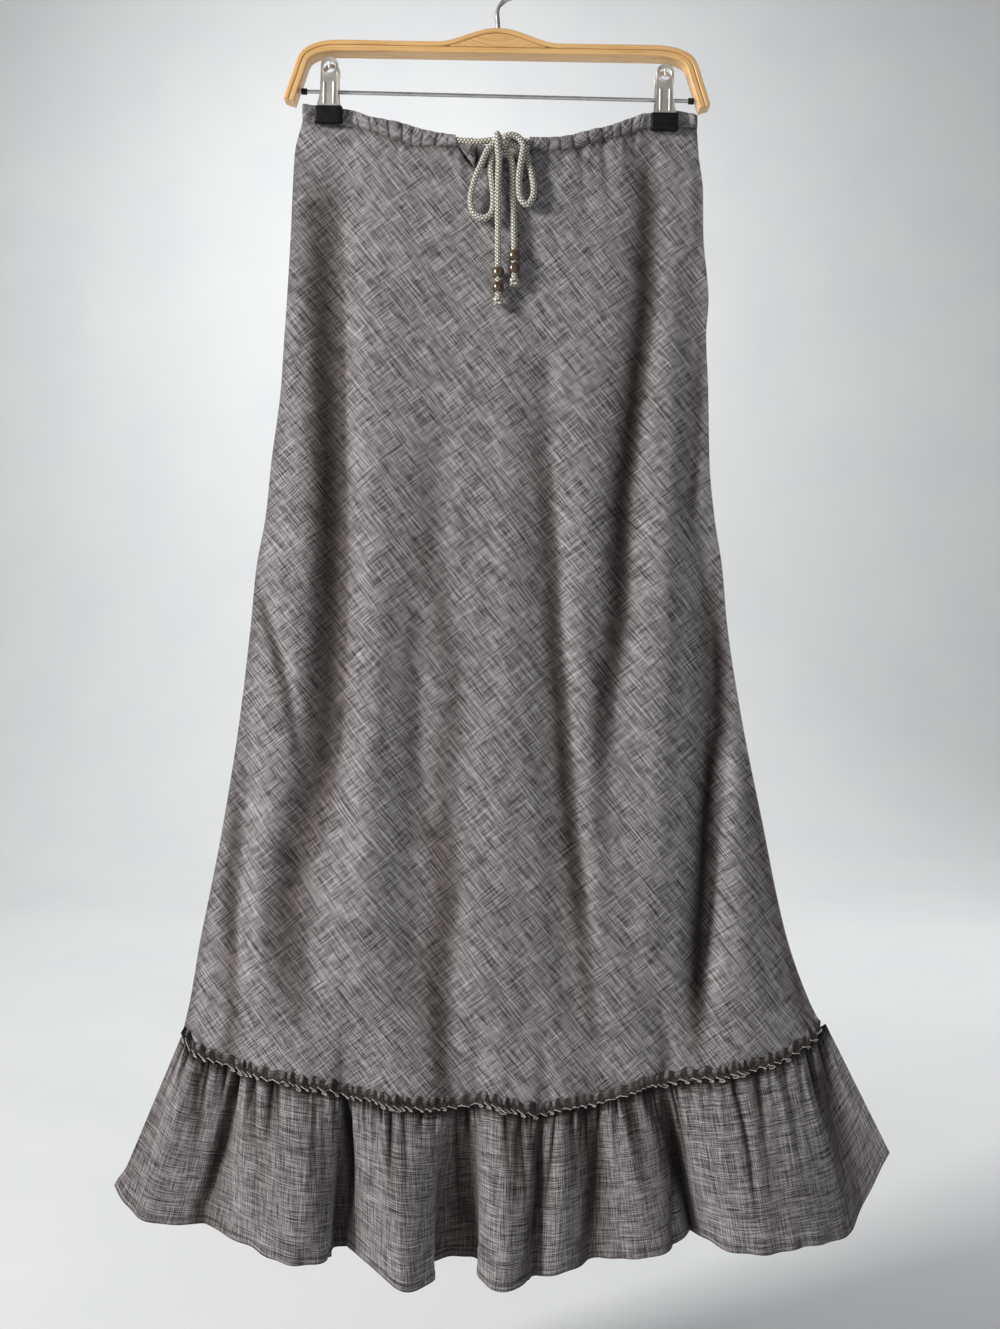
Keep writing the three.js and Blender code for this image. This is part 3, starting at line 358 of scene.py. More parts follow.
STOP_KNOTS = {"stop_knot_left": (-1.1, -16.2, -305.2), "stop_knot_right": (12.8, -15.4, -288.2)}

# Hanger, leaning a little to the right about the hook's crown
HANGER_LEAN = math.radians(1.0)
BOW = {"straightZ": -80.3, "legX": 182.5, "legZ": -128.6, "depth": 14, "outer": 4.2, "inner": 5.1}
GLUE_GAP = 0.15
BOW_ARCH = {"half": 54, "rise": 12.6}
BOW_CORNER = {"startX": 148, "kneeX": 168.6, "kneeZ": -89.5}
HOOK = {"wire": 2, "loop": 20}
BAR = {"radius": 1.7, "left": -166.9, "right": 167.8, "leftZ": -118.8, "rightZ": -121.4}
CLIP = {"top": 43, "width": 15.4, "foot": 20.4, "thick": 1.8, "hole": 5.2, "holeDown": 9, "plateY": 5.5}
JAW = {"width": 24.4, "height": 14.6, "face": 2.95, "back": 9.2}
SPRING = {"turns": 7, "steps": 22, "radius": 4.2, "half": 4.8, "wire": 0.65}
CLIPS = {"left": (-147, -134.4), "right": (146.8, -135.6)}


# Curves and small sums


def mix(a, b, q):
    return a + (b - a) * q


def smooth(a, b, q):
    t = np.clip((q - a) / (b - a), 0, 1)
    return t * t * (3 - 2 * t)


def curve_of(rows, key, value, keep=None):
    """A smooth curve without overshoot through one column of a table, over another column."""
    keep = np.ones(len(rows[key]), bool) if keep is None else keep
    order = np.argsort(rows[key][keep])
    xs, ys = rows[key][keep][order], rows[value][keep][order]
    slopes = np.diff(ys) / np.diff(xs)
    product, total = slopes[:-1] * slopes[1:], slopes[:-1] + slopes[1:]
    inner = np.where(product > 0, 2 * product / np.where(total == 0, 1, total), 0)
    tangents = np.concatenate([slopes[:1], inner, slopes[-1:]])

    def value_at(x):
        x = np.clip(x, xs[0], xs[-1])
        i = np.clip(np.searchsorted(xs, x) - 1, 0, len(xs) - 2)
        h = xs[i + 1] - xs[i]
        t = (x - xs[i]) / h
        near = (1 + 2 * t) * (1 - t) ** 2 * ys[i] + t * (1 - t) ** 2 * h * tangents[i]
        return near + t * t * (3 - 2 * t) * ys[i + 1] - t * t * (1 - t) * h * tangents[i + 1]

    return value_at


def spline_points(points, where):
    """Places on a centripetal curve through the points, at index-uniform values from 0 to 1."""
    points = np.asarray(points, float)
    spans = len(points) - 1
    padded = np.vstack([2 * points[0] - points[1], points, 2 * points[-1] - points[-2]])
    scaled = np.clip(np.asarray(where, float), 0, 1) * spans
    i = np.minimum(scaled.astype(int), spans - 1)
    t = (scaled - i)[:, None]
    p0, p1, p2, p3 = (padded[i + k] for k in range(4))
    d0, d1, d2 = (np.linalg.norm(b - a, axis=1)[:, None] ** 0.5 for a, b in ((p0, p1), (p1, p2), (p2, p3)))
    m1 = ((p1 - p0) / d0 - (p2 - p0) / (d0 + d1) + (p2 - p1) / d1) * d1
    m2 = ((p2 - p1) / d1 - (p3 - p1) / (d1 + d2) + (p3 - p2) / d2) * d1
    return p1 + m1 * t + (3 * (p2 - p1) - 2 * m1 - m2) * t**2 + (2 * (p1 - p2) + m1 + m2) * t**3


def distance_along(path):
    """How far each point of a path lies from its start."""
    return np.concatenate([[0], np.cumsum(np.linalg.norm(np.diff(path, axis=0), axis=1))])


def even_path(points, step):
    """A smooth path through the points, with its own points about one step apart."""
    dense = spline_points(points, np.linspace(0, 1, 60 * len(points)))
    run = distance_along(dense)
    even = np.linspace(0, run[-1], max(2, int(round(run[-1] / step))) + 1)
    return np.column_stack([np.interp(even, run, dense[:, k]) for k in range(3)])


def run_lengths(points, axis):
    """How far each point of a grid lies along one of its two directions."""
    steps = np.linalg.norm(np.diff(points, axis=axis), axis=2)
    start = np.zeros((1, points.shape[1])) if axis == 0 else np.zeros((points.shape[0], 1))
    return np.concatenate([start, np.cumsum(steps, axis=axis)], axis=axis)


def turned(points, angle):
    """Points turned about the Y axis, as the leaning hanger is."""
    points = np.asarray(points, float)
    x, y, z = points[..., 0], points[..., 1], points[..., 2]
    c, s = math.cos(angle), math.sin(angle)
    return np.stack([x * c + z * s, y, -x * s + z * c], axis=-1)


# Meshes


def signed_volume(points, faces):
    centred = points - points.mean(axis=0)
    volume = 0.0
    for face in faces:
        face = np.asarray(face)
        if face.ndim == 1:
            face = face[None]
        a = centred[face[:, 0]]
        for k in range(1, face.shape[1] - 1):
            volume += np.einsum("ij,ij->", a, np.cross(centred[face[:, k]], centred[face[:, k + 1]]))
    return volume / 6


def make_piece(name, points, faces, material, uv=None, shade=None, sharp=50, uv_name="weave"):
    """A closed mesh in the part's frame from points in millimetres, its faces turned to point outwards.

    faces is a list of index arrays, each with faces of one corner count.
    """
    points = np.asarray(points, float)
    blocks = [np.atleast_2d(block) for block in faces]
    if signed_volume(points, blocks) < 0:
        blocks = [block[:, ::-1] for block in blocks]
    mesh = bpy.data.meshes.new(name)
    mesh.from_pydata((points * MM).tolist(), [], [face for block in blocks for face in block.tolist()])
    corners = np.empty(len(mesh.loops), np.int32)
    mesh.loops.foreach_get("vertex_index", corners)
    if uv is not None:
        layer = mesh.uv_layers.new(name=uv_name)
        layer.data.foreach_set("uv", (np.asarray(uv, np.float32)[corners] * MM).ravel())
    if shade is not None:
        attribute = mesh.attributes.new("shade", "FLOAT", "POINT")
        attribute.data.foreach_set("value", np.asarray(shade, np.float32).ravel())
    mesh.polygons.foreach_set("use_smooth", np.ones(len(mesh.polygons), bool))
    mesh.set_sharp_from_angle(angle=math.radians(sharp))
    mesh.validate()
    mesh.materials.append(material)
    return link_piece(name, mesh)


def link_piece(name, mesh):
    piece = bpy.data.objects.new(name, mesh)
    bpy.context.scene.collection.objects.link(piece)
    return piece


def grid_faces(rows, columns, wrap_rows=False):
    """Quads of a grid of points, row by row. With wrap_rows the last row joins the first."""
    j, i = np.meshgrid(np.arange(rows if wrap_rows else rows - 1), np.arange(columns - 1), indexing="ij")
    here, below = j * columns + i, (j + 1) % rows * columns + i
    return np.stack([here, here + 1, below + 1, below], -1).reshape(-1, 4)


def ring_faces(rows, columns):
    """Quads of a grid of points that closes on itself both ways."""
    index = np.arange(rows * columns).reshape(rows, columns)
    right, below = np.roll(index, -1, 1), np.roll(index, -1, 0)
    return np.stack([index, right, np.roll(right, -1, 0), below], -1).reshape(-1, 4)


def grid_normals(points):
    along = np.gradient(points, axis=1)
    down = np.gradient(points, axis=0)
    normals = np.cross(along, down)
    return normals / np.maximum(np.linalg.norm(normals, axis=2, keepdims=True), 1e-9)


def stands_for(piece, *nodes):
    """Says that a piece rides on the one body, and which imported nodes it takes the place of."""
    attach(piece, "root")
    if nodes:
        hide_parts(*nodes)
    return piece


def cloth_sheet(name, points, thickness, uv, material, shade=None):
    """A thin cloth about a grid of points, closed all round."""
    rows, columns = points.shape[:2]
    normals = grid_normals(points)
    half = np.broadcast_to(np.asarray(thickness, float), (rows, columns))[..., None] / 2
    front, back = points + normals * half, points - normals * half
    count = rows * columns
    index = np.arange(count).reshape(rows, columns)
    loop = np.concatenate([index[0, :-1], index[:-1, -1], index[-1, :0:-1], index[:0:-1, 0]])
    following = np.roll(loop, -1)
    rim = np.stack([following, loop, loop + count, following + count], -1)
    faces = [grid_faces(rows, columns), grid_faces(rows, columns)[:, ::-1] + count, rim]
    both = np.concatenate([front.reshape(-1, 3), back.reshape(-1, 3)])
    shades = np.ones(2 * count) if shade is None else np.tile(np.asarray(shade, float).ravel(), 2)
    laid = np.tile(uv.reshape(-1, 2), (2, 1))
    return make_piece(name, both, faces, material, laid, shades)


def tube_between(name, outside, inside, uv, material, shade):
    """A cloth tunnel from its outer and inner rings, [around, along], open at both ends."""
    around, along = outside.shape[:2]
    count = around * along
    ring = np.arange(around) * along
    following = np.roll(ring, -1)
    mouth = np.stack([following, ring, ring + count, following + count], -1)
    ends = [mouth, (mouth + along - 1)[:, ::-1]]
    faces = [grid_faces(around, along, True), grid_faces(around, along, True)[:, ::-1] + count, *ends]
    both = np.concatenate([outside.reshape(-1, 3), inside.reshape(-1, 3)])
    laid = np.tile(uv.reshape(-1, 2), (2, 1))
    return make_piece(name, both, faces, material, laid, np.tile(shade.ravel(), 2))


def path_frames(path, closed=False):
    """Two directions square to the path at each point, turned as little as possible along it."""
    if closed:
        tangents = np.roll(path, -1, axis=0) - np.roll(path, 1, axis=0)
    else:
        tangents = np.gradient(path, axis=0)
    tangents /= np.linalg.norm(tangents, axis=1, keepdims=True)
    first = np.cross(tangents[0], (0, 1, 0))
    if np.linalg.norm(first) < 0.1:
        first = np.cross(tangents[0], (1, 0, 0))
    sides = np.empty_like(path)
    side = first / np.linalg.norm(first)
    for i, tangent in enumerate(tangents):
        side = side - tangent * np.dot(side, tangent)
        side /= np.linalg.norm(side)
        sides[i] = side
    return tangents, sides, np.cross(tangents, sides)


def swept(path, radii, around, closed=False):
    """Rings of a round section along a path, with a radius for each ring or for each point [ring, around]."""
    _, side, up = path_frames(path, closed)
    angles = np.linspace(0, 2 * np.pi, around, endpoint=False)[None]
    radii = np.asarray(radii, float)
    radii = radii[:, None] if radii.ndim == 1 else radii
    ring = np.cos(angles)[..., None] * side[:, None] + np.sin(angles)[..., None] * up[:, None]
    return path[:, None] + ring * radii[..., None]


def capped_tube(rings):
    """Points and faces of a tube from its rings [ring, around], closed at both ends."""
    count, around = rings.shape[:2]
    quads = grid_faces(around, count, True)
    points = rings.transpose(1, 0, 2).reshape(-1, 3)
    ends = [np.arange(around) * count, (np.arange(around) * count + count - 1)[::-1]]
    middles = len(points) + np.arange(2)
    caps = [
        np.stack([np.roll(end, -1), end, np.full(around, middle)], -1) for end, middle in zip(ends, middles)
    ]
    points = np.vstack([points, rings[0].mean(axis=0), rings[-1].mean(axis=0)])
    return points, [quads[:, ::-1], np.vstack(caps)]


def rounded_ends(radius, count, length, step):
    """Radii along a rod whose two ends are rounded."""
    where = np.minimum(np.arange(count) * step, length - np.arange(count) * step)
    return radius * np.sqrt(np.clip(1 - (1 - np.clip(where / radius, 0, 1)) ** 2, 0.02, 1))


def joined(parts):
    """Points and faces of several meshes as one."""
    points, faces, start = [], [], 0
    for some_points, some_faces in parts:
        points.append(some_points)
        faces += [np.atleast_2d(block) + start for block in some_faces]
        start += len(some_points)
    return np.vstack(points), faces


def oriented(points, faces):
    blocks = [np.atleast_2d(block) for block in faces]
    return points, [block[:, ::-1] for block in blocks] if signed_volume(points, blocks) < 0 else blocks


# Materials


def new_material(name):
    material = bpy.data.materials.new(name)
    material.use_nodes = True
    return material, material.node_tree, material.node_tree.nodes["Principled BSDF"]


def node(tree, kind, inputs=(), **settings):
    made = tree.nodes.new(kind)
    for key, value in settings.items():
        setattr(made, key, value)
    for key, value in dict(inputs).items():
        if isinstance(value, bpy.types.NodeSocket):
            tree.links.new(value, made.inputs[key])
        else:
            made.inputs[key].default_value = value
    return made


def maths(tree, operation, a, b=0.0, clamp=False):
    return node(tree, "ShaderNodeMath", {0: a, 1: b}, operation=operation, use_clamp=clamp).outputs[0]


def noise(tree, vector, scale=1.0, detail=2.0, stretch=(1, 1, 1), shift=0.0):
    """A noise value on stretched coordinates."""
    placed = node(tree, "ShaderNodeMapping", {
        "Vector": vector, "Scale": stretch, "Location": (shift, shift * 0.7, shift * 0.3),
    })
    return node(tree, "ShaderNodeTexNoise", {
        "Vector": placed.outputs[0], "Scale": scale, "Detail": detail, "Roughness": 0.5,
    }).outputs[0]


def blend(tree, parts):
    """The sum of some values, each with its own share."""
    total = None
    for value, share in parts:
        part = maths(tree, "MULTIPLY", value, share)
        total = part if total is None else maths(tree, "ADD", total, part)
    return total


def ramp(tree, value, stops):
    made = node(tree, "ShaderNodeValToRGB", {0: value})
    band = made.color_ramp
    while len(band.elements) < len(stops):
        band.elements.new(0.5)
    for element, (place, colour) in zip(band.elements, stops):
        element.position = place
        element.color = (*colour, 1)
    return made.outputs[0]


def finish(tree, shader, colour, relief, distance, strength, **sockets):
    """Joins a colour and a relief to the shader, and sets its plain sockets."""
    bump = node(tree, "ShaderNodeBump", {"Height": relief, "Distance": distance, "Strength": strength})
    tree.links.new(colour, shader.inputs["Base Color"])
    tree.links.new(bump.outputs[0], shader.inputs["Normal"])
    set_finish(shader, **sockets)


def set_finish(shader, **sockets):
    for name, value in sockets.items():
        shader.inputs[name.replace("_", " ")].default_value = value


def slid_threads(tree, weave, stretch, axis):
    """Cloth coordinates in which each thread starts at its own place along its length."""
    places = noise(tree, weave, detail=1, stretch=stretch, shift=41.0)
    slide = maths(tree, "MULTIPLY", places, THREAD_SLIDE)
    moved = node(tree, "ShaderNodeCombineXYZ", {axis: slide}).outputs[0]
    return node(tree, "ShaderNodeVectorMath", {0: weave, 1: moved}, operation="ADD").outputs[0]


def linen_material(name, settings):
    """Slubby plain-weave linen in two thread colours, with long light and dark threads both ways."""
    material, tree, shader = new_material(name)
    weave = node(tree, "ShaderNodeUVMap", uv_map="weave").outputs[0]
    laid = {
        "warp": slid_threads(tree, weave, (0, 1 / THREAD_STEP, 0), "X"),
        "weft": slid_threads(tree, weave, (1 / THREAD_STEP, 0, 0), "Y"),
    }
    parts = [
        (noise(tree, weave, scale=34, detail=3, shift=5.2), 0.02),
        (noise(tree, weave, scale=900, detail=2, shift=7.7), 0.09),
    ]
    for way, length, width, detail, shift, share in THREADS:
        stretch = (1 / length, 1 / width, 1) if way == "warp" else (1 / width, 1 / length, 1)
        parts.append((noise(tree, laid[way], detail=detail, stretch=stretch, shift=shift), share))
    threads = blend(tree, parts)
    dark, light = np.array(settings.thread_dark), np.array(settings.thread_light)
    colour = ramp(tree, threads, [
        (0.5 - 0.1 / settings.slub_contrast, dark), (0.5, mix(dark, light, 0.36)),
        (0.5 + 0.12 / settings.slub_contrast, light),
    ])
    # Painted shade: the cloth's shade attribute darkens its colour, towards a warm brown, in creases, folds,
    # hollows and pockets.
    shade = node(tree, "ShaderNodeAttribute", attribute_name="shade").outputs["Fac"]
    painted_shade_tint = ramp(tree, shade, [(0.0, (0.02, 0.014, 0.01)), (0.5, (0.45, 0.415, 0.385)), (1.0, (1, 1, 1))])
    shaded = node(tree, "ShaderNodeVectorMath", {0: colour, 1: painted_shade_tint}, operation="MULTIPLY").outputs[0]
    finish(
        tree, shader, shaded, threads, 0.0006, 0.5,
        Roughness=0.88, Sheen_Weight=0.18, Sheen_Roughness=0.45, Specular_IOR_Level=0.18,
    )
    return material


def cord_material(name, settings):
    """Cream cotton braid: light strands, with painted shade in the crevices between them."""
    material, tree, shader = new_material(name)
    place = node(tree, "ShaderNodeTexCoord").outputs["Object"]
    shade = node(tree, "ShaderNodeAttribute", attribute_name="shade").outputs["Fac"]
    fibres = noise(tree, place, scale=2200, detail=2)
    fuzz = maths(tree, "MULTIPLY", maths(tree, "SUBTRACT", fibres, 0.5), 0.5)
    light = np.array(settings.cord_colour)
    # Painted shade: the shade attribute, low between the strands, darkens the colour there.
    colour = ramp(tree, maths(tree, "ADD", shade, fuzz, clamp=True), [
        (0.14, light * 0.14), (0.42, light * 0.55), (0.72, light),
    ])
    finish(
        tree, shader, colour, fibres, 0.0002, 0.5,
        Roughness=0.9, Sheen_Weight=0.25, Sheen_Roughness=0.5, Specular_IOR_Level=0.15,
    )
    return material


def wood_material(name, settings):
    """Pale varnished bent wood, its grain along the strip."""
    material, tree, shader = new_material(name)
    grain_map = node(tree, "ShaderNodeUVMap", uv_map="grain").outputs[0]
    lines = noise(tree, grain_map, detail=3, stretch=(1 / 0.045, 1 / 0.0011, 1), shift=2.0)
    pores = noise(tree, grain_map, detail=2, stretch=(1 / 0.009, 1 / 0.00035, 1), shift=9.0)
    patches = noise(tree, grain_map, scale=18, detail=2, shift=4.0)
    wood = np.array(settings.wood_colour)
    colour = ramp(tree, blend(tree, [(lines, 0.55), (pores, 0.2), (patches, 0.25)]), [
        (0.3, wood * (0.62, 0.5, 0.34)), (0.5, wood), (0.72, np.minimum(1, wood * (1.1, 1.14, 1.25))),
    ])
    finish(
        tree, shader, colour, lines, 0.0002, 0.25,
        Roughness=0.38, Coat_Weight=0.35, Coat_Roughness=0.18, Specular_IOR_Level=0.45,
    )
    return material


def bead_material(name):
    """Dark stained wooden bead, lacquered, with fine grain rings."""
    material, tree, shader = new_material(name)
    place = node(tree, "ShaderNodeTexCoord").outputs["Object"]
    rings = noise(tree, place, detail=3, stretch=(900, 900, 160))
    patches = noise(tree, place, scale=260, detail=2)
    colour = ramp(tree, blend(tree, [(rings, 0.7), (patches, 0.3)]), [
        (0.36, (0.02, 0.011, 0.005)), (0.52, (0.075, 0.043, 0.02)), (0.68, (0.19, 0.115, 0.055)),
    ])
    finish(tree, shader, colour, rings, 0.0001, 0.3, Roughness=0.3, Coat_Weight=0.6, Coat_Roughness=0.12)
    return material


def steel_material(name, colour, rough):
    """Drawn or pressed steel with a faint brushed grain."""
    material, tree, shader = new_material(name)
    place = node(tree, "ShaderNodeTexCoord").outputs["Object"]
    brushed = noise(tree, place, detail=2, stretch=(120, 2600, 2600))
    dull = noise(tree, place, scale=90, detail=3)
    shine = maths(tree, "ADD", maths(tree, "MULTIPLY", dull, 0.22), rough - 0.08)
    tree.links.new(shine, shader.inputs["Roughness"])
    tint = ramp(tree, blend(tree, [(brushed, 0.5), (dull, 0.5)]), [
        (0.3, np.array(colour) * 0.72), (0.6, np.array(colour)),
    ])
    finish(tree, shader, tint, brushed, 0.00003, 0.2, Metallic=0.85)
    return material


def plastic_material(name):
    """Black moulded plastic with a fine grain and a few dusty marks."""
    material, tree, shader = new_material(name)
    place = node(tree, "ShaderNodeTexCoord").outputs["Object"]
    grain = noise(tree, place, scale=1500, detail=2)
    dust = noise(tree, place, scale=160, detail=4)
    colour = ramp(tree, dust, [(0.45, (0.003, 0.003, 0.0035)), (0.75, (0.01, 0.01, 0.011))])
    finish(tree, shader, colour, grain, 0.0001, 0.25, Roughness=0.5, Specular_IOR_Level=0.25)
    return material


def thread_material(name, dark, light):
    """Twisted thread between two colours."""
    material, tree, shader = new_material(name)
    place = node(tree, "ShaderNodeTexCoord").outputs["Object"]
    twist = noise(tree, place, scale=2500, detail=1)
    tree.links.new(ramp(tree, twist, [(0.35, dark), (0.65, light)]), shader.inputs["Base Color"])
    set_finish(shader, Roughness=0.8, Sheen_Weight=0.1)
    return material


def shared_material(name, make, *given):
    """The material of that name, made once."""
    return bpy.data.materials.get(name) or make(name, *given)


def linen(settings):
    return shared_material("slubby_linen", linen_material, settings)


def hook_steel():
    return shared_material("hook_steel", steel_material, (0.62, 0.62, 0.63), 0.26)


# Settings that a user would change


class SkirtClothSettings(bpy.types.PropertyGroup):
    thread_dark: bpy.props.FloatVectorProperty(
        name="Dark thread", description="Colour of the dark threads", subtype="COLOR", size=3,
        default=(0.024, 0.019, 0.017), min=0, max=1,
    )
    thread_light: bpy.props.FloatVectorProperty(
        name="Light thread", description="Colour of the light threads", subtype="COLOR", size=3,
        default=(0.47, 0.45, 0.465), min=0, max=1,
    )
    slub_contrast: bpy.props.FloatProperty(
        name="Slub contrast", description="How strongly the thick and thin threads stand out",
        default=1.55, min=0.3, max=3,
    )
    bias_angle: bpy.props.FloatProperty(
        name="Bias angle", description="How far the body's warp is turned from the horizontal",
        subtype="ANGLE", unit="ROTATION", default=math.radians(52),
    )
    gather_height: bpy.props.FloatProperty(
        name="Ruffle gathers", description="Height of the small gathers of the ruffle", subtype="DISTANCE",
        unit="LENGTH", default=0.0022, min=0, max=0.006,
    )


class SkirtTrimSettings(bpy.types.PropertyGroup):
    cord_colour: bpy.props.FloatVectorProperty(
        name="Drawstring", description="Colour of the drawstring's strands", subtype="COLOR", size=3,
        default=(0.89, 0.84, 0.73), min=0, max=1,
    )
    strands: bpy.props.IntProperty(
        name="Strands", description="Strands of the braid in each direction", default=4, min=3, max=12,
    )
    wood_colour: bpy.props.FloatVectorProperty(
        name="Hanger wood", description="Colour of the hanger's wood", subtype="COLOR", size=3,
        default=(0.72, 0.44, 0.18), min=0, max=1,
    )
    stitch_pitch: bpy.props.FloatProperty(
        name="Stitch pitch", description="Distance from one stitch to the next", subtype="DISTANCE",
        unit="LENGTH", default=0.0034, min=0.001, max=0.01,
    )


# Cloth surfaces


def pinch(x):
    """Nothing under a clip's jaws, and one away from them."""
    nearest = np.min([np.abs(x - place) for place, _ in CLIPS.values()], axis=0)
    return smooth(JAW["width"] / 2 + 2, JAW["width"] / 2 + 14, nearest)


def fold_lift(folds, x, z):
    """How far the folds lift the cloth at a place on a panel."""
    lift = np.zeros_like(x)
    for k in range(len(folds["top"])):
        row = {name: column[k] for name, column in folds.items()}
        q = (row["top"] - z) / (row["top"] - row["bottom"])
        fade = smooth(-0.12, 0.12, q) * (1 - smooth(0.9, 1.12, q))
        t = np.clip(q, 0, 1)
        weights = (1 - t) * (1 - 2 * t), 4 * t * (1 - t), t * (2 * t - 1)
        centre = sum(w * row[f"x{i}"] for i, w in enumerate(weights))
        rise = sum(w * row[f"rise{i}"] for i, w in enumerate(weights))
        lift += fade * rise * np.exp(-(((x - centre) / row["half"]) ** 2))
    return lift


def crease_lift(creases, x, z):
    """How far sharp-bottomed creases move the cloth at a place, and the painted shade they leave on the colour
    there.
    """
    lift, light = np.zeros_like(x), np.ones_like(x)
    for left, right, bottom, points in creases:
        line = table("x z depth", points)
        away = x - curve_of(line, "z", "x")(z)
        depth = curve_of(line, "z", "depth")(z)
        half = np.where(away < 0, left, right)
        fall = np.exp((bottom - np.hypot(away, bottom)) / half)
        lift -= depth * (fall - 0.3 * np.exp(-((away / (2.8 * half)) ** 2)))
        # Painted shade: the colour is darkened along the left wall of each crease, the more the deeper it is.
        light *= 1 - np.clip(0.125 * depth, 0, 0.9) * np.exp(-(((away / left + 0.6) / 0.72) ** 2))
    return lift, light


def hollows(out, reach, deep):
    """How much lower each point of a grid lies than the cloth to its left and right, from 0 to 1."""
    window = np.hanning(2 * reach + 1)
    window /= window.sum()
    level = np.array([np.convolve(np.pad(row, reach, "edge"), window, "valid") for row in out])
    return np.clip((level - out) / deep, 0, 1)


def small_gathers(rng, x, down, count, span, height, half, reach):
    """Short pleats that start at an edge: down is the distance from the edge, reach how far each may run."""
    lift = np.zeros_like(x)
    starts = np.linspace(*span, count) + rng.uniform(-0.35, 0.35, count) * (span[1] - span[0]) / count
    for start in starts:
        lean = rng.uniform(-0.12, 0.12)
        length = mix(reach[0], reach[1], rng.random() ** 2.2)
        wide = half * rng.uniform(0.75, 1.35)
        tall = height * rng.uniform(0.45, 1.25) * rng.choice([1, 1, -1])
        away = np.abs(x - start - lean * down) / (wide * (1 + down / 60))
        fade = np.exp(-((down / length) ** 2))
        lift += tall * fade * np.exp(-(away**1.5))
    return lift


def soft_undulation(rng, x, z, height):
    """Low waves without a pattern, as in cloth that has been washed."""
    lift = np.zeros_like(x)
    for _ in range(16):
        across, down = rng.uniform(0.012, 0.05), rng.uniform(0.004, 0.024) * rng.choice([-1, 1])
        lift += np.sin(across * x + down * z + rng.uniform(0, 6.28)) * height * rng.uniform(0.3, 1) / 4
    return lift


def body_side(side):
    """The middle surface of one side of the body, as a function of places across and down it."""
    stitch, waist_out = curve_of(side.waist, "x", "stitch"), curve_of(side.waist, "x", "out")
    left, right, depth = (curve_of(BODY, "z", name) for name in ("left", "right", side.name))
    seam_z, seam_out = curve_of(side.ruffle, "topX", "topZ"), curve_of(side.ruffle, "topX", "topOut")

    def place(u, v):
        rng = np.random.default_rng(side.seed)
        top_z = stitch(mix(left(WAIST_LEVEL), right(WAIST_LEVEL), u))
        top_z = stitch(mix(left(top_z), right(top_z), u))
        end_x = mix(left(SEAM_LEVEL), right(SEAM_LEVEL), u)
        z = mix(top_z, seam_z(end_x) + SEAM_GAP, v)
        x = mix(left(z), right(z), u)
        from_middle = np.abs(2 * u - 1)
        edge = 1 - from_middle**10
        relief = crease_lift(side.creases, x, z)[0] + soft_undulation(rng, x, z, 1.0)
        loose = SIDE_OFFSET + depth(z) * (1 - from_middle**4) + edge * fold_lift(side.folds, x, z)
        loose = loose + (1 - from_middle**16) * relief * smooth(0, 0.05, v)
        loose = np.where(loose > 2.5, loose, SIDE_OFFSET + 1.6 * np.exp(np.minimum(loose - 2.5, 0) / 1.6))
        hung = mix(waist_out(x), loose, smooth(0, 0.13, v))
        hung = hung + edge * relief * 0.5 * smooth(0.005, 0.03, v) * (1 - smooth(0.05, 0.13, v))
        gathers = small_gathers(rng, x, top_z - z, **WAIST_GATHERS)
        hung = hung + edge * gathers * mix(1, pinch(x), 1 - smooth(0, 0.03, v))
        puckers = small_gathers(rng, x, z - seam_z(end_x), **SEAM_PUCKERS)
        out = mix(hung, seam_out(end_x), smooth(0.84, 1, v)) + edge * puckers
        out = mix(np.maximum(out, SIDE_MEETING), SIDE_MEETING, from_middle**24)
        return np.stack([x, side.facing * out, z], axis=-1)

    return place


def laid_weave(across, down, angle):
    """Cloth coordinates from two lengths over the cloth, turned so that the warp runs at an angle."""
    c, s = math.cos(angle), math.sin(angle)
    return np.stack([across * c + down * s + WEAVE_START, -across * s + down * c + WEAVE_START], axis=-1)


def panel_points(place, columns, rows):
    """A grid of a body side, closer together near the top where the gathers are."""
    v, u = np.meshgrid(np.linspace(0, 1, rows + 1) ** 1.12, np.linspace(0, 1, columns + 1), indexing="ij")
    return place(u, v)


def outward_normals(points, facing):
    """Normals of a grid, each turned to the outside of the skirt."""
    normals = grid_normals(points)
    return normals * np.sign(normals[..., 1:2] * facing + 1e-9)


def ruffle_edges(side):
    """The gather seam and the hem of a ruffle, as points on even steps along the cloth."""
    dense = np.linspace(0, 1, 4001)
    seam, hem = (
        spline_points(np.column_stack([
            side.ruffle[f"{edge}X"], side.facing * side.ruffle[f"{edge}Out"], side.ruffle[f"{edge}Z"],
        ]), dense) for edge in ("top", "hem")
    )
    steps = np.linalg.norm(np.diff(seam, axis=0), axis=1) + 2 * np.linalg.norm(np.diff(hem, axis=0), axis=1)
    share = np.concatenate([[0], np.cumsum(steps)]) / steps.sum()
    even = np.linspace(0, 1, side.ruffle_columns + 1)
    seam, hem = (np.column_stack([np.interp(even, share, axis) for axis in line.T]) for line in (seam, hem))
    return seam[None], hem[None]


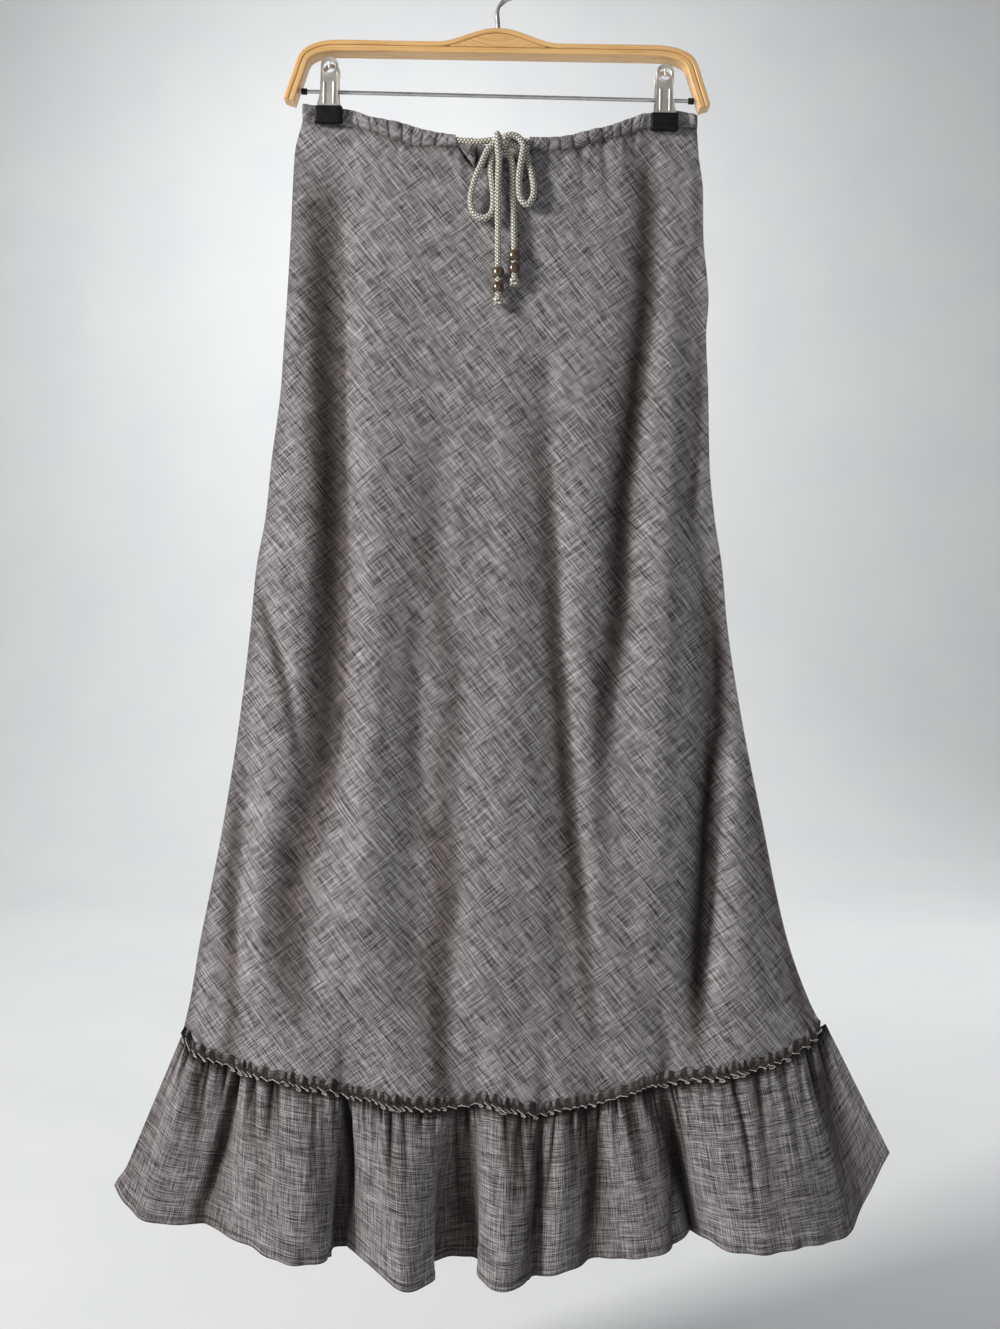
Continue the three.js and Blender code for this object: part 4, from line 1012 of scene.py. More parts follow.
def ruffle_points(side, height):
    """A ruffle's middle surface with its gathers, the way down it, and the painted shade in its folds."""
    facing = side.facing
    high, low = ruffle_edges(side)
    v = np.concatenate([np.linspace(0, 0.94, side.ruffle_rows - 5), np.linspace(0.95, 1, 6)])[:, None, None]
    level = v[..., 0]
    points = mix(high, low, v)
    points[..., 1] = mix(high[..., 1], low[..., 1], 1 - (1 - level) ** 1.35)
    points[..., 2] = mix(high[..., 2] - SEAM_GAP, low[..., 2], level)
    rng = np.random.default_rng(side.ruffle_seed)
    along = run_lengths(points, 1)[-1][None] * np.ones((len(v), 1))
    down = run_lengths(points, 0)
    span = (0, along[0, -1])
    gathers = small_gathers(rng, along, down, span=span, height=height, **RUFFLE_PLEATS)
    gathers += small_gathers(rng, along, down, span=span, height=-1.3 * height, **RUFFLE_TUCKS)
    creases, light = crease_lift(side.ruffle_creases, points[..., 0], points[..., 2])
    waves = soft_undulation(rng, along, down, 1.2) * smooth(0, 90, down)
    hem_wave = 1.1 * np.sin(along / 5.3 + 2.1 * np.sin(along / 31)) * smooth(0.82, 1, level)
    at_seams = np.abs(2 * np.linspace(0, 1, side.ruffle_columns + 1)[None] - 1) ** 40
    edge = 1 - at_seams
    lift = (gathers + creases + waves + hem_wave) * edge
    points = points + outward_normals(points, facing) * lift[..., None]
    points[..., 2] += 0.6 * np.sin(along / 9.7 + 1.7 * np.sin(along / 23)) * smooth(0.9, 1, level) * edge
    points[..., 1] = facing * np.maximum(facing * points[..., 1], -3.5)
    points[..., 1] -= facing * (SIDE_OFFSET - SIDE_MEETING) * at_seams
    points[..., 2] += 9 * np.clip(1 - along / 17, 0, 1) ** 2 * smooth(0.8, 1, level)
    # Painted shade: darker in the creases, in the hollows between the ruffle's folds and in the tucks of its
    # gathers.
    hollow = hollows(facing * points[..., 1], side.ruffle_columns // 15, mix(5.5, 15, level))
    light = light * (1 - 0.93 * hollow) * mix(1, 0.25, np.clip(-gathers / 2.4, 0, 1))
    return points, down, light


# Operators


class SkirtOperator:
    """What every step of the build shares."""

    bl_options = {"REGISTER"}

    def execute(self, context):
        self.build(context.scene.skirt_cloth, context.scene.skirt_trim)
        return {"FINISHED"}


class SKIRT_OT_stage(SkirtOperator, bpy.types.Operator):
    """Sets the camera, the pale floor and the soft lights"""

    bl_idname = "skirt.stage"
    bl_label = "Camera, floor and lights"

    def build(self, cloth, trim):
        scene = bpy.context.scene
        camera = bpy.data.objects.new("camera", bpy.data.cameras.new("camera"))
        camera.data.lens = CAMERA_LENS
        camera.data.sensor_width = 36
        camera.data.sensor_fit = "AUTO"
        camera.location = CAMERA_PLACE
        camera.rotation_euler = (math.radians(90), 0, 0)
        scene.collection.objects.link(camera)
        scene.camera = camera
        scene.view_settings.view_transform = "Standard"
        self.backdrop()
        for name, (place, target, size, power, colour) in LIGHTS.items():
            light = bpy.data.objects.new(name, bpy.data.lights.new(name, "AREA"))
            light.data.size = size
            light.data.energy = power
            light.data.color = colour
            light.location = place
            light.rotation_euler = (Vector(target) - Vector(place)).to_track_quat("-Z", "Y").to_euler()
            scene.collection.objects.link(light)
        world = bpy.data.worlds.new("studio")
        world.use_nodes = True
        world.node_tree.nodes["Background"].inputs["Color"].default_value = SKY["colour"]
        world.node_tree.nodes["Background"].inputs["Strength"].default_value = SKY["strength"]
        scene.world = world

    def backdrop(self):
        """A pale floor that curves up far behind the skirt."""
        floor, bend, foot = STUDIO["floor"], STUDIO["bend"], STUDIO["wall"] - STUDIO["bend"]
        line = [(STUDIO["front"], floor), (foot, floor)]
        for angle in np.linspace(0, math.pi / 2, 17)[1:]:
            line.append((foot + bend * math.sin(angle), floor + bend - bend * math.cos(angle)))
        line.append((STUDIO["wall"], STUDIO["top"]))
        points = [(x, y, z) for y, z in line for x in (-STUDIO["half"], STUDIO["half"])]
        faces = [(2 * k, 2 * k + 1, 2 * k + 3, 2 * k + 2) for k in range(len(line) - 1)]
        mesh = bpy.data.meshes.new("studio_floor")
        mesh.from_pydata(points, [], faces)
        mesh.polygons.foreach_set("use_smooth", np.ones(len(mesh.polygons), bool))
        material, tree, shader = new_material("studio_paint")
        place = node(tree, "ShaderNodeTexCoord").outputs["Object"]
        patches = noise(tree, place, scale=3, detail=2)
        tint = ramp(tree, patches, [(0.3, (0.78, 0.79, 0.80)), (0.7, (0.82, 0.83, 0.83))])
        tree.links.new(tint, shader.inputs["Base Color"])
        set_finish(shader, Roughness=0.95)
        mesh.materials.append(material)
        link_piece("studio_floor", mesh)


class SKIRT_OT_drawstring(SkirtOperator, bpy.types.Operator):
    """Ties the braided drawstring in a bow, with its beads and the knots at its tips"""

    bl_idname = "skirt.drawstring"
    bl_label = "Drawstring and beads"

    def build(self, cloth, trim):
        self.material = shared_material("cotton_braid", cord_material, trim)
        self.strands = trim.strands
        wood = shared_material("stained_wood", bead_material)
        self.knot_wrap()
        for name, place in BEADS.items():
            self.bead(name, place, wood)
        for name, place in STOP_KNOTS.items():
            self.stop_knot(name, place)
        self.cord("drawstring_left", LEFT_CORD, ["bow_knot_wrap"])
        self.cord("drawstring_right", RIGHT_CORD, [])

    def braid(self, path, radius, closed=False):
        """Rings of a braided cord, and how deep each point lies between the strands, which is painted as shade.
        """
        run = distance_along(path)[:, None]
        angle = np.linspace(0, 2 * np.pi, BRAID_AROUND, endpoint=False)[None]
        turns = 2 * np.pi * run / BRAID_PITCH
        if closed:
            length = run[-1, 0] + np.linalg.norm(path[0] - path[-1])
            turns = 2 * np.pi * run / length * max(1, round(length / BRAID_PITCH))
        one, other = self.strands * (angle + turns), self.strands * (angle - turns)
        weave = np.sin((one + other) / 2) * np.sin((one - other) / 2)
        over = np.where(weave > 0, np.abs(np.cos(one / 2)), np.abs(np.cos(other / 2)))
        rings = swept(path, radius * (0.91 + 0.2 * over**0.8), BRAID_AROUND, closed)
        return rings, over**1.8

    def cord(self, name, cord, wrap):
        """One half of the drawstring, from its mouth of the casing to its tip."""
        points = [*cord["mouth"], *cord["turn"], *cord["loop"], *cord["cross"], *cord["tail"]]
        path = even_path(points, CORD_STEP)
        rings, over = self.braid(path, CORD_RADIUS)
        tube, faces = capped_tube(rings)
        shade = np.append(over.T.ravel(), [0.5, 0.5])
        piece = make_piece(name, tube, faces, self.material, shade=shade)
        stands_for(piece, *cord["stands_for"])

    def closed_loop(self, name, node_name, path, radius):
        """A ring of braided cord that closes on itself."""
        rings, over = self.braid(path, radius, closed=True)
        quads = ring_faces(*rings.shape[:2])
        points = rings.reshape(-1, 3)
        piece = make_piece(name, points, [quads], self.material, shade=over.ravel())
        stands_for(piece, node_name)

    def knot_wrap(self):
        """The turn of cord that crosses over the middle of the bow."""
        turn = np.linspace(0, 2 * np.pi, 90, endpoint=False)
        path = np.column_stack([1.6 + 0.9 * np.sin(turn), 5.2 * np.cos(turn), 4.4 * np.sin(turn)]) + BOW_KNOT
        self.closed_loop("bow_knot_wrap", "bow_knot", path, 2.5)

    def stop_knot(self, name, place):
        """A small overhand knot drawn tight at the cord's tip."""
        t = np.linspace(0, 2 * np.pi, 130, endpoint=False)
        radius = 1.55 + 0.75 * np.cos(3 * t)
        path = np.column_stack([radius * np.cos(2 * t), radius * np.sin(2 * t), 1.95 * np.sin(3 * t)]) + place
        self.closed_loop(f"tip_{name}", name, path, 2.05)

    def bead(self, name, place, material):
        """A turned bead, rounded between its two flat faces, with the cord's hole through it."""
        height = np.linspace(-1, 1, 19)
        bulge = (1 - np.abs(height) ** 2.3) ** 0.62
        radius = mix(BEAD["flat"], BEAD["radius"], bulge)
        outside = np.column_stack([radius, BEAD["half"] * height])
        lip = [(BEAD["flat"] - 0.5, BEAD["half"] + 0.05), (BEAD["bore"] - 0.1, BEAD["half"] - 0.25)]
        inside = [(BEAD["bore"] - 0.2, h) for h in (2.6, 0, -2.6)]
        profile = np.array([*outside, *lip, *inside, *[(r, -h) for r, h in reversed(lip)]])
        angle = np.linspace(0, 2 * np.pi, BEAD_AROUND, endpoint=False)
        radius, z = profile[:, :1], profile[:, 1:] * np.ones((1, BEAD_AROUND))
        points = np.stack([radius * np.cos(angle), radius * np.sin(angle), z], -1) + place
        quads = ring_faces(len(profile), BEAD_AROUND)
        piece = make_piece(f"turned_{name}", points.reshape(-1, 3), [quads], material)
        stands_for(piece, name)


class SKIRT_OT_body(SkirtOperator, bpy.types.Operator):
    """Hangs the front and back panels in their folds and creases"""

    bl_idname = "skirt.body"
    bl_label = "Body panels"

    def build(self, cloth, trim):
        for side in SIDES:
            points = panel_points(body_side(side), side.columns, side.rows)
            x, z = points[..., 0], points[..., 2]
            down = run_lengths(points, 0)
            front = side.name == "front"
            opening = (x > OPENING[0]) & (x < OPENING[1]) & front
            wall = np.where(opening, mix(OPENING_WALL, CLOTH_WALL, smooth(1.5, 4, down)), CLOTH_WALL)
            # Painted shade: darker in the creases, just under the casing and in the hollows of the cloth.
            light = crease_lift(side.creases, x, z)[1] * mix(0.6, 1, smooth(0, 7, down))
            light = light * (1 - 0.5 * hollows(np.abs(points[..., 1]), 5, 1.6))
            weave = laid_weave(x, -z, -side.facing * cloth.bias_angle)
            piece = cloth_sheet(f"{side.name}_cloth", points, wall, weave, linen(cloth), light)
            stands_for(piece, f"{side.name}_panel")
            [self.turn_back(cloth)] if front else []

    def turn_back(self, cloth):
        """The corner of the opening that is folded outwards beside the drawstring."""
        a, b = np.meshgrid(np.linspace(0, 1, 25), np.linspace(0, 1, 25))
        left = np.stack([mix(-38, -22.5, b**1.1), np.full_like(b, 0), mix(-162.5, -185, b)], -1)
        right = np.stack([mix(-23, -21.8, b), np.full_like(b, 0), mix(-161, -185.4, b)], -1)
        points = mix(left, right, a[..., None])
        roll = np.sin(np.pi * a) * 1.5 * (1 - b) + 0.5 * np.sin(9 * a + 4 * b) * (1 - b)
        points[..., 1] = -(8.0 + 1.3 * a * (1 - b) + roll)
        weave = laid_weave(points[..., 0], -points[..., 2], cloth.bias_angle + 1.2)
        # Painted shade: the whole turned-back corner is a little darker.
        shade = np.full(a.shape, 0.82)
        return stands_for(cloth_sheet("opening_turn_back", points, CLOTH_WALL, weave, linen(cloth), shade))


class SKIRT_OT_casing(SkirtOperator, bpy.types.Operator):
    """Gathers the waist casing round the drawstring"""

    bl_idname = "skirt.casing"
    bl_label = "Waist casing"

    def build(self, cloth, trim):
        for name, facing, waist, span, mouth, seed in (
            ("casing_front_left", -1, WAIST_FRONT, (-173.2, OPENING[0]), OPENING[0], 21),
            ("casing_front_right", -1, WAIST_FRONT, (OPENING[1], 173.8), OPENING[1], 22),
            ("casing_back", 1, WAIST_BACK, (-173.2, 173.8), None, 23),
        ):
            outside, inside, weave, shade = self.rings(cloth, facing, waist, span, mouth, seed)
            piece = tube_between(f"gathered_{name}", outside, inside, weave, linen(cloth), shade)
            stands_for(piece, name)

    def rings(self, cloth, facing, waist, span, mouth, seed):
        """The outer and inner rings of the tunnel, [around, along]."""
        rng = np.random.default_rng(seed)
        along = int((span[1] - span[0]) / CASING_STEP)
        angle = np.linspace(0, 2 * np.pi, CASING_AROUND, endpoint=False)[:, None]
        x = np.linspace(span[0], span[1], along)[None]
        rows = np.ones(len(waist["x"]), bool)
        if mouth is not None:
            rows = (waist["x"] <= OPENING[0]) | (waist["x"] >= OPENING[1])
        top, out = curve_of(waist, "x", "top"), curve_of(waist, "x", "out")
        bottom = curve_of(waist, "x", "stitch", rows)
        places = span[0] - 8 + np.cumsum(rng.uniform(4.5, 14.0, CASING_PLEATS))
        heights = rng.uniform(0.35, 1.4, CASING_PLEATS)
        high = (1 - np.cos(angle)) / 2
        leaning = x + (high - 0.5) * 3.2 * np.sin(x / 17 + seed)
        phase = np.interp(leaning, places, np.arange(CASING_PLEATS))
        crest = np.abs(np.cos(np.pi * phase)) ** 0.42
        tall = np.interp(leaning, places, heights)
        puff = pinch(x) * crest * tall
        to_mouth = np.abs(x - mouth) if mouth is not None else np.full_like(x, 99)
        to_side = np.minimum(*[np.abs(x - end) if end != mouth else np.full_like(x, 99) for end in span])
        opened = 1 - smooth(3, 20, to_mouth)
        rounded = np.sqrt(1 - (1 - np.clip(to_side / 3.2, 0.04, 1)) ** 2)
        base = out(x) + 1.1 * pinch(x) * np.sin(np.pi * high) + 0.5 * opened
        base = base - 0.75 * (1 - smooth(0, 5, to_side))
        outer = mix(1.15 + 0.2 * pinch(x) + 1.8 * puff, 3.3 + 0.3 * puff, opened) * rounded
        inner = mix(0.8 + 0.2 * pinch(x) + 0.8 * puff, 3.1, opened) * rounded
        low = bottom(x) - 0.5
        up = top(x) + 0.9 * puff.mean(axis=0, keepdims=True) - 0.4
        swell = np.sin(angle) * np.where(np.sin(angle) > 0, outer, inner)

        def ring(shrink):
            middle, half = (up + low) / 2, (up - low) / 2 - shrink
            z = middle - half * np.cos(angle)
            size = np.where(np.sin(angle) > 0, outer, inner)
            y = base + swell * np.maximum(1 - shrink / size, 0.12)
            return np.stack([x * np.ones_like(angle), facing * y * np.ones_like(z), z], -1)

        outside, inside = ring(0), ring(0.55)
        weave = laid_weave(outside[..., 0], 1.15 * outside[..., 2] + 9 * np.sin(angle), cloth.bias_angle)
        # Painted shade: darker in the valleys between the casing's pleats and on the tube's lower side, except
        # under the clips' jaws.
        valley = mix(0.15, 1, smooth(0.2, 0.75, crest)) * mix(0.7, 1, smooth(0.02, 0.22, high))
        return outside, inside, weave, mix(1, valley, pinch(x))


class SKIRT_OT_ruffle(SkirtOperator, bpy.types.Operator):
    """Gathers the ruffle, its turned hem and the crinkled heading above its seam"""

    bl_idname = "skirt.ruffle"
    bl_label = "Ruffle and heading"

    def build(self, cloth, trim):
        for side in SIDES:
            points, down, light = ruffle_points(side, cloth.gather_height / MM)
            to_hem = down[-1:] - down
            wall = mix(HEM_WALL, CLOTH_WALL, smooth(5.2, 6.4, to_hem))
            wall = wall - 0.35 * np.exp(-(((to_hem - HEM_STITCHES_UP) / 0.7) ** 2))
            fold_line = smooth(0, 1.1, np.abs(to_hem - HEM_TURNED_UP))
            # Painted shade: darker just under the heading, along the hem's fold line and at the hem's lower
            # edge, and the whole ruffle a little darker than the body.
            shade = light * mix(0.12, 1, smooth(1, 11, down)) * mix(0.55, 1, fold_line)
            shade = 0.88 * shade * mix(0.45, 1, smooth(0.3, 1.8, to_hem))
            share = np.linspace(0, 1, points.shape[1])[None] * np.ones((len(points), 1))
            total, level = run_lengths(points, 1)[-1, -1], down.mean(axis=1)[:, None] + 0 * share
            weave = laid_weave(share * total, level, 0.0)
            piece = cloth_sheet(f"{side.name}_ruffle_cloth", points, wall, weave, linen(cloth), shade)
            stands_for(piece, f"ruffle_{side.name}")
            heading = self.heading(side, cloth)

    def heading(self, side, cloth):
        """The crinkled band above the gather seam, which ends in a pale edge that curls in and out."""
        rng = np.random.default_rng(side.ruffle_seed + 5)
        place = body_side(side)
        u = np.linspace(0.002, 0.998, HEADING_COLUMNS)[None]
        foot, above = place(u, np.ones_like(u))[0], place(u, np.full_like(u, 0.985))[0]
        foot[:, 0] *= 1.003
        climb = above - foot
        climb /= np.linalg.norm(climb, axis=1, keepdims=True)
        along = np.gradient(foot, axis=0)
        along /= np.linalg.norm(along, axis=1, keepdims=True)
        run = distance_along(foot)
        places = np.cumsum(rng.uniform(3.4, 12.5, HEADING_CURLS)) - 8
        phase = 2 * np.pi * np.interp(run, places, np.arange(HEADING_CURLS))
        tall = np.interp(run, places, rng.uniform(0.25, 1.6, HEADING_CURLS))
        rise = np.interp(run, places[::2], rng.uniform(-1.6, 2.0, HEADING_CURLS // 2))
        wave = 0.5 - 0.5 * np.cos(phase)
        grid, shades = [], []
        for share in np.linspace(0, 1, 11):
            out = 0.9 + 1.6 * share + 2.6 * share * wave * tall + 1.5 * math.sin(math.pi * share) * tall
            shift = share**1.2 * tall * (2.3 * np.sin(2 * phase) - 0.8 * np.cos(phase))
            height = 8.6 * (1 - share) + 0.8 + 0.7 * rise + 2.4 * share * np.sin(phase) * tall
            height = height + 1.5 * (1 - share) * np.sin(0.62 * phase + 2) * tall
            row = foot + climb * height[:, None] + along * shift[:, None]
            row[:, 1] += side.facing * out
            grid.append(row)
            # Painted light and shade: the curls' crests lighter and the pockets between them darker, the band
            # darker towards its lower edge.
            painted_curl_light = np.clip(0.5 + 0.7 * np.sin(phase + 1 + 2.5 * share) * tall, 0, 1)
            shades.append(mix(0.8, 0.3, share) * mix(0.22, 1, painted_curl_light))
        points = np.array(grid)
        weave = np.stack([run_lengths(points, 1) + 50, run_lengths(points, 0) + 90], -1)
        name, shade = f"{side.name}_heading_cloth", np.array(shades)
        piece = cloth_sheet(name, points, HEADING_WALL, weave, linen(cloth), shade)
        stands_for(piece, f"heading_{side.name}")
        # The pale edge's colour is partly the raw edge's own threads and partly a painted highlight where light
        # catches the edge.
        edge, faces = capped_tube(swept(points[-1], np.full(HEADING_COLUMNS, 0.42), 6))
        pale = shared_material("frayed_edge", thread_material, (0.26, 0.24, 0.23), (0.66, 0.63, 0.60))
        stands_for(make_piece(f"{side.name}_frayed_edge", edge, faces, pale))
        return piece


# Stitches


def stitch_tree():
    """Stitches at an even pitch along the lines they are given."""
    tree = bpy.data.node_groups.new("stitch_row", "GeometryNodeTree")
    for name, kind in (
        ("Geometry", "NodeSocketGeometry"), ("Pitch", "NodeSocketFloat"), ("Length", "NodeSocketFloat"),
        ("Thickness", "NodeSocketFloat"), ("Thread", "NodeSocketMaterial"),
    ):
        tree.interface.new_socket(name, in_out="INPUT", socket_type=kind)
    tree.interface.new_socket("Geometry", in_out="OUTPUT", socket_type="NodeSocketGeometry")
    given = tree.nodes.new("NodeGroupInput").outputs
    lines = node(tree, "GeometryNodeMeshToCurve", {"Mesh": given["Geometry"]}).outputs[0]
    marks = node(tree, "GeometryNodeCurveToPoints", {"Curve": lines, "Length": given["Pitch"]}, mode="LENGTH")
    ball = node(tree, "GeometryNodeMeshUVSphere", {"Segments": 7, "Rings": 5, "Radius": 0.5})
    size = node(tree, "ShaderNodeCombineXYZ", {
        0: given["Thickness"], 1: given["Thickness"], 2: given["Length"],
    })
    placed = node(tree, "GeometryNodeInstanceOnPoints", {
        "Points": marks.outputs["Points"], "Instance": ball.outputs["Mesh"],
        "Rotation": marks.outputs["Rotation"], "Scale": size.outputs[0],
    })
    real = node(tree, "GeometryNodeRealizeInstances", {"Geometry": placed.outputs[0]})
    painted = node(tree, "GeometryNodeSetMaterial", {
        "Geometry": real.outputs[0], "Material": given["Thread"],
    })
    tree.links.new(painted.outputs[0], tree.nodes.new("NodeGroupOutput").inputs["Geometry"])
    return tree


def stitch_row(name, lines, sizes, material):
    """A plain mesh of stitches along some lines, in millimetres."""
    points = np.vstack(lines) * MM
    edges, start = [], 0
    for line in lines:
        edges += [(start + k, start + k + 1) for k in range(len(line) - 1)]
        start += len(line)
    mesh = bpy.data.meshes.new(name + "_lines")
    mesh.from_pydata(points.tolist(), edges, [])
    holder = link_piece(name + "_lines", mesh)
    modifier = holder.modifiers.new("stitches", "NODES")
    modifier.node_group = bpy.data.node_groups.get("stitch_row") or stitch_tree()
    items = modifier.node_group.interface.items_tree
    sockets = {item.name: item.identifier for item in items if item.in_out == "INPUT"}
    for key, value in {**sizes, "Thread": material}.items():
        modifier[sockets[key]] = value
    evaluated = holder.evaluated_get(bpy.context.evaluated_depsgraph_get())
    made = bpy.data.meshes.new_from_object(evaluated)
    bpy.data.objects.remove(holder)
    piece = link_piece(name, made)
    made.polygons.foreach_set("use_smooth", np.ones(len(made.polygons), bool))
    return piece


class SKIRT_OT_stitching(SkirtOperator, bpy.types.Operator):
    """Sews the row of stitches along the hem, front and back"""

    bl_idname = "skirt.stitching"
    bl_label = "Stitching"

    def build(self, cloth, trim):
        thread = shared_material("sewing_thread", thread_material, (0.03, 0.026, 0.025), (0.14, 0.13, 0.13))
        pitch = trim.stitch_pitch
        sizes = {"Pitch": pitch, "Length": pitch * 0.78, "Thickness": STITCH_THICKNESS}
        for side in SIDES:
            points = ruffle_points(side, cloth.gather_height / MM)[0]
            to_hem = run_lengths(points[::-1], 0)[::-1]
            row = np.argmin(np.abs(to_hem - HEM_STITCHES_UP), axis=0)
            column = np.arange(points.shape[1])
            line = points[row, column] + outward_normals(points, side.facing)[row, column] * 0.72
            stands_for(stitch_row(f"hem_stitches_{side.name}", [line[6:-6]], sizes, thread))


# Hanger


def bow_line(steps):
    """The glue line of the bent bow, from one end to the other."""
    x, knee = BOW_CORNER["startX"], BOW_CORNER["kneeX"]
    z = BOW["straightZ"]
    half = spline_points([
        (x - 40, z), (x - 14, z), (x, z - 0.6), (knee - 8.6, z - 3.6), (knee, BOW_CORNER["kneeZ"]),
        (mix(knee, BOW["legX"], 0.5), -107.5), (BOW["legX"], BOW["legZ"]),
    ], np.linspace(0, 1, steps + 1))
    return np.vstack([half[::-1] * (-1, 1), half])


def arch_rise(x):
    """How high the outer strip arches over the straight line."""
    half, rise = BOW_ARCH["half"], BOW_ARCH["rise"]
    return np.where(np.abs(x) >= half, 0, rise * (1 + np.cos(np.pi * x / half)) / 2)


def arch_line(steps):
    line = bow_line(steps)
    x = np.linspace(-BOW_ARCH["half"] - 6, BOW_ARCH["half"] + 6, 61)
    middle = np.column_stack([x, BOW["straightZ"] + arch_rise(x)])
    cut = len(line) // 2
    return np.vstack([line[:cut], middle, line[cut:]])


def offset_line(line, distance):
    """A line moved sideways, to the left of its run."""
    run = np.vstack([line[1:2] - line[:1], line[2:] - line[:-2], line[-1:] - line[-2:-1]])
    run /= np.linalg.norm(run, axis=1, keepdims=True)
    return line + np.column_stack([-run[:, 1], run[:, 0]]) * distance


def wooden_strip(name, upper, lower, depth, material, corner=0.9):
    """A strip of wood between two lines, its long edges rounded."""
    thick = np.linalg.norm(upper - lower, axis=1)[:, None]
    corner = np.minimum(corner, thick * 0.4)
    angles = np.linspace(0, 90, 5)
    places = []
    for start, high, deep in ((0, 1, 1), (90, 0, 1), (180, 0, 0), (270, 1, 0)):
        for angle in np.radians(angles + start):
            across = np.where(high, thick - corner, corner) + corner * np.cos(angle)
            inward = (depth / 2 - corner if deep else corner - depth / 2) + corner * np.sin(angle)
            places.append((across / thick, inward))
    share = np.concatenate([p[0] for p in places], axis=1)
    inward = np.concatenate([p[1] for p in places], axis=1)
    ring = mix(lower[:, None], upper[:, None], share[..., None])
    rings = np.stack([ring[..., 0], inward, ring[..., 1]], -1)
    points, faces = capped_tube(rings)
    run = distance_along((upper + lower) / 2)
    around = run_lengths(rings, 1)
    uv = np.stack([(run[:, None] * np.ones_like(around)), around], -1).transpose(1, 0, 2).reshape(-1, 2)
    uv = np.vstack([uv, uv[0], uv[-1]])
    placed = turned(points, HANGER_LEAN)
    return make_piece(name, placed, faces, material, uv, uv_name="grain")


class SKIRT_OT_bow(SkirtOperator, bpy.types.Operator):
    """Bends the hanger's two glued strips and fits the block under the arch"""

    bl_idname = "skirt.bow"
    bl_label = "Wooden bow"

    def build(self, cloth, trim):
        wood = shared_material("bow_wood", wood_material, trim)
        arch, plain, depth = arch_line(30), bow_line(30), BOW["depth"]
        upper, lower = offset_line(arch, BOW["outer"] + GLUE_GAP), offset_line(arch, GLUE_GAP)
        stands_for(wooden_strip("bow_outer_strip", upper, lower, depth, wood), "bow_outer")
        upper, lower = offset_line(plain, -GLUE_GAP), offset_line(plain, -BOW["inner"] - GLUE_GAP)
        stands_for(wooden_strip("bow_inner_strip", upper, lower, depth, wood), "bow_inner")
        x = np.linspace(12 - BOW_ARCH["half"], BOW_ARCH["half"] - 12, 41)
        top = np.column_stack([x, BOW["straightZ"] + arch_rise(x) - 0.4])
        foot = np.column_stack([x, np.full_like(x, BOW["straightZ"] + GLUE_GAP)])
        stands_for(wooden_strip("bow_middle_block", top, foot, depth - 0.6, wood, corner=0.4), "bow_block")


class SKIRT_OT_hook_and_bar(SkirtOperator, bpy.types.Operator):
    """Bends the wire hook and sets the steel bar with its two plugs"""

    bl_idname = "skirt.hook_and_bar"
    bl_label = "Hook and bar"

    def build(self, cloth, trim):
        foot = BOW["straightZ"] + BOW_ARCH["rise"] + BOW["outer"] + 0.3
        points = [(0, 0, foot), (-0.6, 0, foot + 9), (-0.9, 0, foot + 17), (4.4, 0, -36.4)]
        centre = HOOK["wire"] - HOOK["loop"]
        for angle in np.radians(np.linspace(-42, 196, 14)):
            points.append((HOOK["loop"] * math.cos(angle), 0, centre + HOOK["loop"] * math.sin(angle)))
        step = 0.8
        path = even_path(points, step)
        to_tip = np.arange(len(path))[::-1] * step
        rounding = 1 - (1 - np.clip(to_tip / HOOK["wire"], 0.02, 1)) ** 2
        radii = HOOK["wire"] * np.sqrt(np.clip(rounding, 0.03, 1))
        tube, faces = capped_tube(swept(path, radii, 20))
        points, faces = joined([oriented(tube, faces), oriented(*self.collar(foot))])
        hook = make_piece("wire_hook", turned(points, HANGER_LEAN), faces, hook_steel())
        stands_for(hook, "hook")
        self.bar()

    def collar(self, foot):
        """The small washer where the wire enters the wood."""
        profile = [(2.0, -0.1), (3.9, -0.1), (4.3, 0.3), (3.9, 0.8), (2.6, 1.1), (2.0, 1.1)]
        angle = np.linspace(0, 2 * np.pi, 32, endpoint=False)
        rings = [[(r * math.cos(a), r * math.sin(a), foot + h) for a in angle] for r, h in profile]
        return np.array(rings).reshape(-1, 3), [ring_faces(len(profile), 32)]

    def bar(self):
        """The steel bar, and the plug at each of its ends."""
        plastic = shared_material("moulded_plastic", plastic_material)
        left, right = np.array((BAR["left"], 0, BAR["leftZ"])), np.array((BAR["right"], 0, BAR["rightZ"]))
        run = (right - left) / np.linalg.norm(right - left)
        path = np.linspace(left, right, 140)
        points, faces = capped_tube(swept(path, np.full(140, float(BAR["radius"])), 20))
        bar = make_piece("steel_bar", turned(points, HANGER_LEAN), faces, hook_steel())
        stands_for(bar, "bar")
        for side, start, sign in (("left", left, -1), ("right", right, 1)):
            where = np.array([0.3, 0.35, 0.8, 1.6, 2.0, 2.4, 4.6, 5.2, 5.45, 5.5])
            radius = np.array([1.9, 2.4, 2.68, 2.68, 2.3, 2.68, 2.66, 2.5, 2.1, 1.2])
            points, faces = capped_tube(swept(start + sign * run * where[:, None], radius, 24))
            points = turned(points, HANGER_LEAN)
            plug = make_piece(f"bar_plug_{side}", points, faces, plastic, sharp=35)
            stands_for(plug, f"bar_end_{side}")


